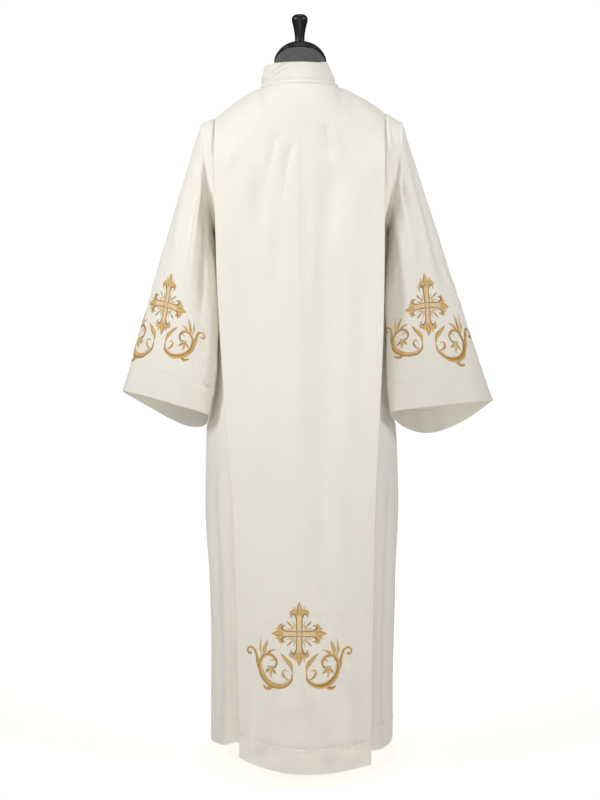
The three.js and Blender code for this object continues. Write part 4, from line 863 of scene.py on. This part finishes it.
SCROLL = [
    ("stem", 1.3, W_STEM, [(16, -80), (19, -99), (40, -112), (66, -108), (85, -89), (89, -64), (77, -46.5), (60, -48), (51.5, -60), (56, -71.5), (64, -71)]),
    ("light", 1.6, [(0, 0.8), (0.4, 2.6), (1, 0.8)], [(25, -98), (43, -107), (65, -101.5), (80, -86), (84, -67)]),
    ("leaf", 1.1, [(0, 1.4), (0.42, 10.2), (0.78, 6.2), (1, 0.6)], [(16, -82), (19, -67), (30, -54.5), (43, -41)]),
    ("deep", 1.5, [(0, 0.8), (0.5, 1.7), (1, 0.6)], [(17.5, -79), (21.5, -66), (32, -55), (40, -46)]),
    ("mid", 0.9, [(0, 1.2), (0.4, 5.4), (1, 1.6)], [(22, -98), (32, -93), (37.5, -83), (33, -76), (28, -80)]),
    ("mid", 1.0, [(0, 1.2), (0.3, 6.4), (0.65, 5.0), (1, 3.0)], [(82, -94), (92, -74), (95.5, -53), (101, -37), (110.5, -31), (118, -36.5), (115.5, -45), (108.5, -43.5)]),
    ("deep", 1.0, [(0, 4.8), (1, 4.8)], [(109, -43.6), (112.4, -44.4)]),
    ("leaf", 1.0, W_LEAF, [(80, -50), (78, -33), (71, -14)]),
    ("light", 1.0, [(0, 1.4), (0.5, 6.0), (1, 0.6)], [(83, -52), (88, -34), (86.5, -11)]),
    ("mid", 0.9, [(0, 1.4), (0.4, 6.4), (1, 0.6)], [(75, -47), (64, -37), (52, -34.5)]),
    ("mid", 0.9, W_LEAF, [(57, -111), (72, -117), (84, -111)]),
    ("light", 0.9, [(0, 1.0), (0.5, 4.6), (1, 0.6)], [(51, -56), (59, -55), (66, -59)]),
    ("mid", 0.9, [(0, 1.8), (0.55, 6.6), (1, 0.7)], [(64, -72), (58, -80), (52, -85.5)]),
    ("light", 1.1, [(0, 2.0), (0.55, 7.6), (1, 0.7)], [(65, -72), (65.5, -82), (64, -94)]),
    ("mid", 0.9, [(0, 1.8), (0.55, 6.6), (1, 0.7)], [(66, -72), (73, -79), (78, -85.5)]),
    ("green", 1.4, [(0, 3.0), (0.5, 6.6), (1, 3.4)], [(58.5, -69.5), (65, -72.5), (71.5, -69.5)])]

def spline(pts, step):
    """smooth path through the points, evenly stepped"""
    p = np.array(pts, float)
    if len(p) == 2: dense = np.linspace(p[0], p[1], 40)
    else:
        q = np.vstack([2 * p[0] - p[1], p, 2 * p[-1] - p[-2]]); out = []
        for i in range(len(p) - 1):
            a, b, c, e = q[i:i+4]; t = np.linspace(0, 1, 24, endpoint=False)[:, None]
            out.append(0.5 * (2*b + (c-a)*t + (2*a-5*b+4*c-e)*t**2 + (3*b-a-3*c+e)*t**3))
        dense = np.vstack(out + [p[-1:]])
    L = np.concatenate([[0], np.cumsum(np.linalg.norm(np.diff(dense, axis=0), axis=1))])
    n = max(4, int(L[-1] / step) + 1); s = np.linspace(0, L[-1], n)
    return np.stack([np.interp(s, L, dense[:, 0]), np.interp(s, L, dense[:, 1])], 1), s

def ribbon(thread_colour_and_painted_light, high, widths, pts, step=1.6):
    P, s = spline(pts, step); T = np.gradient(P, axis=0); T /= np.linalg.norm(T, axis=1, keepdims=True) + 1e-9
    Nn = np.stack([T[:, 1], -T[:, 0]], 1); f = s / s[-1]
    w = np.interp(f, [a for a, _ in widths], [b for _, b in widths]) / 2
    k = np.array([-1, -0.72, -0.3, 0.3, 0.72, 1, 0.7, -0.7]); top = np.array([0, 0.72, 1, 1, 0.72, 0, 0, 0])
    U = P[:, None, 0] + Nn[:, None, 0] * k * w[:, None]; V = P[:, None, 1] + Nn[:, None, 1] * k * w[:, None]
    H = high * np.clip(w / 1.6, 0.45, 1.0)[:, None] * top + np.where(top == 0, -0.3, 0.0) + 0.05
    # thread shades across the ribbon, darker at one edge as painted shade and paler at the other as painted highlight
    a, b, c = (np.array(x) for x in THREAD_COLOURS_AND_PAINTED_LIGHT[thread_colour_and_painted_light])
    sh = (k + 1) / 2
    col = np.where(sh[:, None] < 0.5, a + (b - a) * (sh[:, None] * 2), b + (c - b) * (sh[:, None] * 2 - 1))
    col = np.broadcast_to(col, (len(s), 8, 3)).copy()
    # painted shade: each ribbon darker towards its ends, 22 % at the last end and 10 % at the first
    g = 1 - 0.22 * smooth(0.75, 1.0, f)[:, None, None] - 0.10 * (1 - smooth(0, 0.15, f))[:, None, None]
    col *= g
    uv = np.stack([np.broadcast_to(k * w[:, None], U.shape), s[:, None] + 0.45 * k * w[:, None]], -1)
    n = len(s); F = []
    for j in range(8):
        q = (j + 1) % 8; i = np.arange(n - 1)
        F.append(np.stack([i * 8 + j, i * 8 + q, (i + 1) * 8 + q, (i + 1) * 8 + j], 1))
    F = [tuple(map(int, r)) for r in np.concatenate(F)] + [tuple(range(7, -1, -1)), tuple((n - 1) * 8 + j for j in range(8))]
    return U.ravel(), V.ravel(), H.ravel(), F, col.reshape(-1, 3), uv.reshape(-1, 2)

def motif_parts():
    out = []
    for ang, sc in ((0, 1.0), (90, 0.86), (180, 1.0), (270, 0.86)):
        ca, sa = math.cos(math.radians(ang)), math.sin(math.radians(ang))
        for thread_colour_and_painted_light, high, widths, pts, twin in ARM:
            for m in ((1, -1) if twin else (1,)):
                q = [((m * p) * ca + (r * sc) * sa, -(m * p) * sa + (r * sc) * ca) for p, r in pts]
                if m < 0 and thread_colour_and_painted_light in ("deep",): q = q
                out.append((thread_colour_and_painted_light, high, widths, q))
    for ang in (45, 135, 225, 315):
        for da, r0, r1, thread_colour_and_painted_light, wd in ((0, 15, 37, "mid", W_RAY), (19, 15, 29, "green", W_SMALL), (-19, 15, 29, "green", W_SMALL),
                                     (9.5, 14, 22, "light", W_SMALL), (-9.5, 14, 22, "light", W_SMALL)):
            c, s = math.cos(math.radians(ang + da)), math.sin(math.radians(ang + da))
            out.append((thread_colour_and_painted_light, 0.8, wd, [(r0 * c, r0 * s), (r1 * c, r1 * s)]))
    ring = [(6.2 * math.cos(t), 6.2 * math.sin(t)) for t in np.linspace(0, 2 * math.pi, 13)]
    out.append(("deep", 1.3, [(0, 2.0), (1, 2.0)], ring))
    out.append(("pale", 1.2, [(0, 3), (0.5, 8.4), (1, 3)], [(-4.2, 0), (4.2, 0)]))
    for m in (1, -1):
        for thread_colour_and_painted_light, high, widths, pts in SCROLL:
            out.append((thread_colour_and_painted_light, high, widths, [(m * u * 0.92, v) for u, v in pts]))
    return out

def motif(name, place):
    Us, Vs, Hs, Fs, Cs, Ts = [], [], [], [], [], []; base = 0
    for thread_colour_and_painted_light, high, widths, pts in motif_parts():
        U, V, H, F, C, T = ribbon(thread_colour_and_painted_light, high, widths, pts)
        Us.append(U); Vs.append(V); Hs.append(H); Cs.append(C); Ts.append(T)
        Fs += [tuple(base + i for i in f) for f in F]; base += len(U)
    U, V, H = np.concatenate(Us), np.concatenate(Vs), np.concatenate(Hs)
    P = place(U, V, H)
    C = np.concatenate(Cs); C = np.concatenate([C, np.ones((len(C), 1))], 1)
    ob = make_object(name, P, Fs, GOLD, uv=np.concatenate(Ts) / 1000, color=C)
    return ob

def on_back(U, V, H):
    X = MOTIF_X + U; Z = MOTIF_Z + V
    topz = BACK.top_z(X); K = topz - LENGTH - BACK.hem(X)
    d = (topz - Z + K * DROP_EXACT / (LENGTH - DROP_EXACT)) / (1 + K / (LENGTH - DROP_EXACT))
    P = centre_surface(BACK, X, d, -H); P[..., 1] -= SEAM / 2
    return P

def on_sleeve(s):
    """the motif lies square on the sleeve, turned by its tilt, and bends round with it"""
    tm, am, tilt = MOTIF_AT[s.hand]; am = math.radians(am); tilt = math.radians(tilt)
    p0 = s.base(tm, np.array(am)); ea = s.base(tm, np.array(am + 0.01)) - p0; et = s.base(tm + 0.02, np.array(am)) - p0
    ea /= np.linalg.norm(ea); et /= np.linalg.norm(et); n = s.normal(np.array(tm), np.array(am))
    ev = np.array([math.sin(tilt), 0, math.cos(tilt)]); ev -= n * (ev @ n); ev /= np.linalg.norm(ev)
    eu = np.cross(ev, n); eu *= np.sign(eu[0])
    G = np.array([[1, ea @ et], [ea @ et, 1]]); Gi = np.linalg.inv(G)
    tt = np.linspace(max(0.5, tm - 3.6), min(8, tm + 3.6), 110); aa = np.linspace(am - 2.8, am + 2.8, 460)
    T, A = np.meshgrid(tt, aa, indexing="ij"); P = s.base(T, A)
    L = np.concatenate([np.zeros((len(tt), 1)), np.cumsum(np.linalg.norm(np.diff(P, axis=1), axis=2), axis=1)], 1)
    L -= np.array([np.interp(am, aa, r) for r in L])[:, None]
    line = s.base(tt, np.full_like(tt, am)); D = np.concatenate([[0], np.cumsum(np.linalg.norm(np.diff(line, axis=0), axis=1))])
    D -= np.interp(tm, tt, D)
    def place(U, V, H):
        W = U[:, None] * eu + V[:, None] * ev
        c = np.stack([W @ ea, W @ et], 1) @ Gi          # along the ring, along the sleeve
        t = np.interp(c[:, 1], D, tt)
        i = np.clip(np.searchsorted(tt, t) - 1, 0, len(tt) - 2); f = ((t - tt[i]) / (tt[i+1] - tt[i]))[:, None]
        rows = L[i] * (1 - f) + L[i+1] * f; q = c[:, 0]
        j = np.clip((rows < q[:, None]).sum(1) - 1, 0, len(aa) - 2); r = np.arange(len(q))
        g = (q - rows[r, j]) / (rows[r, j+1] - rows[r, j])
        return s.at(t, aa[j] + g * (aa[1] - aa[0]), H)
    return place

# ------------------------------------------------------------------ stitches
def stitches(name, P, N, loop=False):
    """a running line of small threads over a path of points"""
    L = np.concatenate([[0], np.cumsum(np.linalg.norm(np.diff(P, axis=0), axis=1))])
    at = lambda A, s: np.stack([np.interp(s, L, A[:, k]) for k in range(3)], -1)
    n = int(L[-1] / STITCH); V, F = [], []
    for i in range(n):
        s0 = i * STITCH + 0.35; s = np.array([s0, s0 + 0.5, s0 + 1.15, s0 + 1.8, s0 + 2.3])
        C = at(P, s); M = at(N, s); M /= np.linalg.norm(M, axis=1, keepdims=True) + 1e-9
        T = np.gradient(C, axis=0); T /= np.linalg.norm(T, axis=1, keepdims=True) + 1e-9
        S = np.cross(T, M); b = len(V)
        for k, h in enumerate((-0.2, 0.18, 0.28, 0.18, -0.2)):
            for x, y in ((-0.26, 0.0), (0, 0.17), (0.26, 0.0), (0, -0.2)):
                V.append(C[k] + S[k] * x + M[k] * (h + y))
        for k in range(4):
            for j in range(4):
                F.append((b + k*4 + j, b + k*4 + (j+1) % 4, b + (k+1)*4 + (j+1) % 4, b + (k+1)*4 + j))
        F.append((b + 3, b + 2, b + 1, b)); F.append((b + 16, b + 17, b + 18, b + 19))
    return make_object(name, np.array(V), F, STITCHES)

def line_normals(P, out):
    """outward normals for a line, from its direction and a second line a little way in"""
    T = np.gradient(P, axis=0); n = np.cross(T, out - P); n /= np.linalg.norm(n, axis=1, keepdims=True) + 1e-9
    return n

# ------------------------------------------------------------------ build the alb
def shift(ob, y):
    for_v = np.empty(len(ob.data.vertices) * 3, np.float32); ob.data.vertices.foreach_get("co", for_v)
    for_v = for_v.reshape(-1, 3); for_v[:, 1] += y / 1000; ob.data.vertices.foreach_set("co", for_v.ravel()); ob.data.update()
    return ob

back_centre = shift(centre_panel(BACK, "alb_back_centre"), -SEAM / 2)
front_centre = shift(centre_panel(FRONT, "alb_front_centre"), SEAM / 2)
back_left = side_panel(BACK, "left", "alb_back_left"); back_right = side_panel(BACK, "right", "alb_back_right")
front_left = side_panel(FRONT, "left", "alb_front_left"); front_right = side_panel(FRONT, "right", "alb_front_right")
front_placket = placket_piece()
collar = collar_piece()
sleeve_left, SL = sleeve("left", "alb_sleeve_left")
sleeve_right, SR = sleeve("right", "alb_sleeve_right")
pieces = {"back_centre": back_centre, "front_centre": front_centre, "back_left": back_left, "back_right": back_right,
          "front_left": front_left, "front_right": front_right, "front_placket": front_placket, "collar": collar,
          "sleeve_left": sleeve_left, "sleeve_right": sleeve_right}
for n, ob in pieces.items():
    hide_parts(n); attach(ob, "root")

extra = {n: [] for n in pieces}
def with_piece(node_name, ob):
    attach(ob, "root"); extra[node_name].append(ob)

with_piece("back_centre", motif("motif_hem", on_back))
with_piece("sleeve_left", motif("motif_sleeve_left", on_sleeve(SL)))
with_piece("sleeve_right", motif("motif_sleeve_right", on_sleeve(SR)))

for bd, n in ((BACK, "back_centre"), (FRONT, "front_centre")):
    dh = LENGTH - HEM_DEEP + 1.2
    l, r = float(bd.edge_x("left", dh)), float(bd.edge_x("right", dh))
    X = np.linspace(l + 3, r - 3, 300); D = np.full(300, dh)
    P = centre_surface(bd, X, D, np.zeros(300)); P[:, 1] += bd.side * SEAM / 2
    with_piece(n, stitches("stitch_" + n, P, -bd.normal(X, D, bd.hem)))
for s, n in ((SL, "sleeve_left"), (SR, "sleeve_right")):
    a = np.linspace(0, 2 * math.pi, 700); t = s.t_up(np.full(700, CUFF_DEEP - 1.2), a)
    with_piece(n, stitches("stitch_" + n, s.at(t, a, 0.0), s.normal(t, a)))
a = np.linspace(0.05, 2 * math.pi - 0.05, 500)
Nn = np.stack([np.sin(a), np.cos(a), np.zeros(500)], 1)
with_piece("collar", stitches("stitch_collar", collar_point(a, np.full(500, 45.5 / 48), 0.0), Nn))

# flat cut of each piece, metres
CUT = {   # width, length, share of the rectangle that is cloth, how it is held
    "back_centre": (0.47, 1.50, 0.90, "hung"), "front_centre": (0.45, 1.46, 0.90, "hung"),
    "back_left": (0.27, 1.50, 0.80, "hung"), "back_right": (0.27, 1.50, 0.80, "hung"),
    "front_left": (0.25, 1.50, 0.78, "hung"), "front_right": (0.25, 1.50, 0.78, "hung"),
    "front_placket": (0.036, 0.40, 1.0, "hung"), "collar": (0.52, 0.056, 0.95, "stretched"),
    "sleeve_left": (0.66, 0.60, 0.80, "hung"), "sleeve_right": (0.68, 0.60, 0.80, "hung")}
for n, ob in pieces.items():
    w, l, share, held = CUT[n]
    print("AREA", n, round(ob["area_m2"], 4), "cut", round(w * l * share, 4))

# ------------------------------------------------------------------ dress form
def tube(name, rings, mat, low_cap=True, high_cap=True):
    m = len(rings[0]); V = np.concatenate(rings); F = []
    for i in range(len(rings) - 1):
        for j in range(m):
            k = (j + 1) % m
            F.append((i*m + j, i*m + k, (i+1)*m + k, (i+1)*m + j))
    if low_cap: F.append(tuple(range(m - 1, -1, -1)))
    if high_cap: F.append(tuple((len(rings) - 1) * m + j for j in range(m)))
    return make_object(name, V, F, mat)
def rounds(profile, m=72, centre=(0, 0, 0), tilt=0.0):
    """rings of a turned piece, profile rows (r, z); tilt in degrees about x"""
    a = np.linspace(0, 2 * math.pi, m, endpoint=False); c, s = math.cos(math.radians(tilt)), math.sin(math.radians(tilt)); out = []
    for r, z in profile:
        x, y = r * np.cos(a), r * np.sin(a); zz = np.full(m, float(z))
        out.append(np.stack([x + centre[0], y * c - zz * s + centre[1], y * s + zz * c + centre[2]], 1))
    return out
def refine(profile, step):
    p = np.array(profile, float); L = np.concatenate([[0], np.cumsum(np.linalg.norm(np.diff(p, axis=0), axis=1))])
    s = np.sort(np.concatenate([L, np.arange(0, L[-1], step)])); s = s[np.concatenate([[True], np.diff(s) > 0.05])]
    return [(max(0.01, float(np.interp(q, L, p[:, 0]))), float(np.interp(q, L, p[:, 1]))) for q in s]
def soften(rows, n=4):
    """rounded version of a turned profile: a smooth curve through its points"""
    p = np.array(rows, float); q = np.vstack([2*p[0]-p[1], p, 2*p[-1]-p[-2]]); out = []
    for i in range(len(p) - 1):
        a, b, c, e = q[i:i+4]
        for t in np.linspace(0, 1, n, endpoint=False):
            v = 0.5 * (2*b + (c-a)*t + (2*a-5*b+4*c-e)*t*t + (3*b-a-3*c+e)*t**3); out.append((max(0.01, v[0]), v[1]))
    out.append((max(0.01, p[-1][0]), p[-1][1])); return out

fcol = {k: curve(FORM, "z", k) for k in ("half", "back", "front", "tilt", "square")}
rings = []
for z in np.concatenate([np.linspace(878, 900, 8), np.linspace(910, 1400, 60), np.linspace(1404, 1521, 50)]):
    a = np.linspace(0, 2 * math.pi, 96, endpoint=False); q = 2 / fcol["square"](z)
    c, s = np.cos(a), np.sin(a); tan = math.tan(math.radians(float(fcol["tilt"](z))))
    x = fcol["half"](z) * np.sign(c) * np.abs(c) ** q
    y = np.where(s > 0, fcol["front"](z), fcol["back"](z)) * np.sign(s) * np.abs(s) ** q
    rings.append(np.stack([x, y - 4, z - y * tan], 1))
torso = tube("form_torso_cover", rings, FORM_FABRIC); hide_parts("form_torso"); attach(torso, "root")

CAP = [(0, 0), (53.5, 0), (54.6, 0.4), (55.6, 1.5), (56, 3), (56, 5.2), (55.4, 6.6), (54.2, 7.4), (54.0, 8.2), (54.3, 9.2),
       (53.2, 12), (49, 19), (45, 23.8), (40, 28), (34.4, 31.6), (28, 34.5), (21, 36.6), (14, 38), (7, 38.8), (0, 39)]
cap = tube("form_cap_cover", rounds(refine(CAP, 2.0), 96, (0.5, -4, 1521.4), -NECK_TILT), FORM_GLOSS)
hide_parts("form_cap"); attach(cap, "root")
FINIAL = [(0, -12), (12.0, -12), (12.4, 0), (11.6, 3), (10.8, 6), (10.5, 12), (10.8, 20), (11.8, 28), (13.2, 36), (15.2, 44),
          (16.9, 50), (17.4, 54), (17.0, 58), (15.2, 61.5), (12.0, 64.2), (7.0, 65.6), (0, 66)]
fin = tube("form_finial_cover", rounds(soften(FINIAL), 72, (-0.6, 6, 1558)), FORM_GLOSS)
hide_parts("form_finial"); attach(fin, "root")
POLE = [(0, 12.3), (12.4, 12.3), (13, 12.9), (13, 876.9), (12.4, 877.5), (0, 877.5)]
pole = tube("form_pole_cover", rounds(refine(POLE, 30), 48, (0, -4, 0)), STAND)
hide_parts("form_pole"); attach(pole, "root")
BASE = [(0, 0), (135.2, 0), (136.2, 1), (136.2, 7.4), (135.4, 9), (132.4, 11.3), (130, 12), (30, 12), (0, 12)]
basep = tube("form_base_cover", rounds(refine(BASE, 6), 96), STAND)
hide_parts("form_base"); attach(basep, "root")
for o in (torso, cap, fin, pole, basep):
    o.data.materials[0].use_fake_user = False

for n, ob in pieces.items():
    w, l, share, held = CUT[n]

# ------------------------------------------------------------------ stage, light, camera
FLOOR_GLOW = 0.78
fl, nt, b = new_mat("floor_white")
b.inputs["Base Color"].default_value = (0.88, 0.86, 0.81, 1); b.inputs["Roughness"].default_value = 0.9
b.inputs["Emission Color"].default_value = (1.0, 0.983, 0.945, 1)
# pale in front, plain white further back, so that it meets the backdrop without an edge
fc = nt.nodes.new("ShaderNodeTexCoord"); fs = nt.nodes.new("ShaderNodeSeparateXYZ"); fm = nt.nodes.new("ShaderNodeMapRange"); fr = nt.nodes.new("ShaderNodeValToRGB")
fm.inputs["From Min"].default_value = -1; fm.inputs["From Max"].default_value = 3
nt.links.new(fc.outputs["Object"], fs.inputs[0]); nt.links.new(fs.outputs["Y"], fm.inputs["Value"]); nt.links.new(fm.outputs["Result"], fr.inputs["Fac"])
q = fr.color_ramp.elements; q[0].position = 0.0; q[0].color = (FLOOR_GLOW,) * 3 + (1,); q[1].position = 0.60; q[1].color = (1, 1, 1, 1)
for at, v in ((0.25, FLOOR_GLOW), (0.45, 0.5 + 0.5 * FLOOR_GLOW)):
    x = q.new(at); x.color = (v, v, v, 1)
nt.links.new(fr.outputs["Color"], b.inputs["Emission Strength"])
ring = [(1.8 * math.cos(2 * math.pi * k / 96), 1.8 * math.sin(2 * math.pi * k / 96), 0) for k in range(96)]
me = bpy.data.meshes.new("floor"); me.from_pydata(ring, [], [tuple(range(96))])
floor = bpy.data.objects.new("floor", me); scene.collection.objects.link(floor); me.materials.append(fl)

world = bpy.data.worlds.new("studio"); scene.world = world; world.use_nodes = True
wt = world.node_tree; bg = wt.nodes["Background"]
tc = wt.nodes.new("ShaderNodeTexCoord"); sep = wt.nodes.new("ShaderNodeSeparateXYZ"); ramp = wt.nodes.new("ShaderNodeValToRGB")
mr = wt.nodes.new("ShaderNodeMapRange"); mr.inputs["From Min"].default_value = -1; mr.inputs["From Max"].default_value = 1
wt.links.new(tc.outputs["Generated"], sep.inputs[0]); wt.links.new(sep.outputs["Z"], mr.inputs["Value"])
wt.links.new(mr.outputs["Result"], ramp.inputs["Fac"]); wt.links.new(ramp.outputs["Color"], bg.inputs["Color"])
e = ramp.color_ramp.elements
e[0].position = 0.0; e[0].color = (1, 1, 1, 1); e[1].position = 0.60; e[1].color = (1, 1, 1, 1)
x = ramp.color_ramp.elements.new(0.70); x.color = (0.55, 0.56, 0.58, 1)
x = ramp.color_ramp.elements.new(1.0); x.color = (0.60, 0.61, 0.63, 1)
# full white only behind the form, seen from the camera; a soft front, darker sides
my = wt.nodes.new("ShaderNodeMapRange"); my.inputs["From Min"].default_value = -1; my.inputs["From Max"].default_value = 1
wt.links.new(sep.outputs["Y"], my.inputs["Value"])
ry = wt.nodes.new("ShaderNodeValToRGB"); q = ry.color_ramp.elements
q[0].position = 0.0; q[0].color = (0.32, 0.32, 0.32, 1); q[1].position = 0.945; q[1].color = (1, 1, 1, 1)
for at, v in ((0.20, 0.31), (0.45, 0.03), (0.88, 0.04)):
    x = q.new(at); x.color = (v, v, v, 1)
wt.links.new(my.outputs["Result"], ry.inputs["Fac"])
gain = wt.nodes.new("ShaderNodeMath"); gain.operation = "MULTIPLY"; gain.inputs[1].default_value = 1.06
wt.links.new(ry.outputs["Color"], gain.inputs[0]); wt.links.new(gain.outputs["Value"], bg.inputs["Strength"])

def area(name, loc, aim, size, power, colour):
    l = bpy.data.lights.new(name, "AREA"); l.shape = "RECTANGLE"; l.size, l.size_y = size; l.energy = power; l.color = colour
    o = bpy.data.objects.new(name, l); scene.collection.objects.link(o); o.location = loc
    o.rotation_euler = (Vector(aim) - Vector(loc)).to_track_quat("-Z", "Y").to_euler()
    return o
area("near_front", (0.2, -3.5, 1.75), (0.0, 0.0, 1.40), (1.0, 0.7), 5, (0.985, 0.985, 1.0))
area("key", (-0.8, -2.5, 2.2), (0.0, 0.0, 1.42), (0.8, 0.7), 6, (0.985, 0.985, 1.0))
def spot(name, loc, aim, wide, power, colour, soft=0.35):
    l = bpy.data.lights.new(name, "SPOT"); l.energy = power; l.color = colour; l.spot_size = math.radians(wide); l.spot_blend = 1.0; l.shadow_soft_size = soft
    o = bpy.data.objects.new(name, l); scene.collection.objects.link(o); o.location = loc
    o.rotation_euler = (Vector(aim) - Vector(loc)).to_track_quat("-Z", "Y").to_euler()
    return o
spot("left_box", (-2.0, -1.0, 2.35), (-0.24, -0.02, 1.29), 47, 162, (0.975, 0.985, 1.0), 0.4)
spot("right_box", (2.0, -1.0, 2.35), (0.24, -0.02, 1.29), 47, 122, (0.975, 0.985, 0.995), 0.4)
area("overhead", (0.0, 0.1, 3.3), (0.0, 0.0, 1.4), (1.2, 0.8), 9, (0.99, 0.99, 1.0))
# soft band of light into the open cuffs, from the height of the hands
spot("low_front", (0.0, -3.4, 0.45), (0, 0, 0.90), 40, 70, (1.0, 0.972, 0.915))

cam = bpy.data.cameras.new("camera"); cam.lens = 61.695; cam.sensor_width = 36
camera = bpy.data.objects.new("camera", cam); scene.collection.objects.link(camera)
camera.location = (0, -3.0, 1.116); camera.rotation_euler = (math.radians(90 - 6.12), 0, 0)
scene.camera = camera
scene.view_settings.view_transform = "Standard"
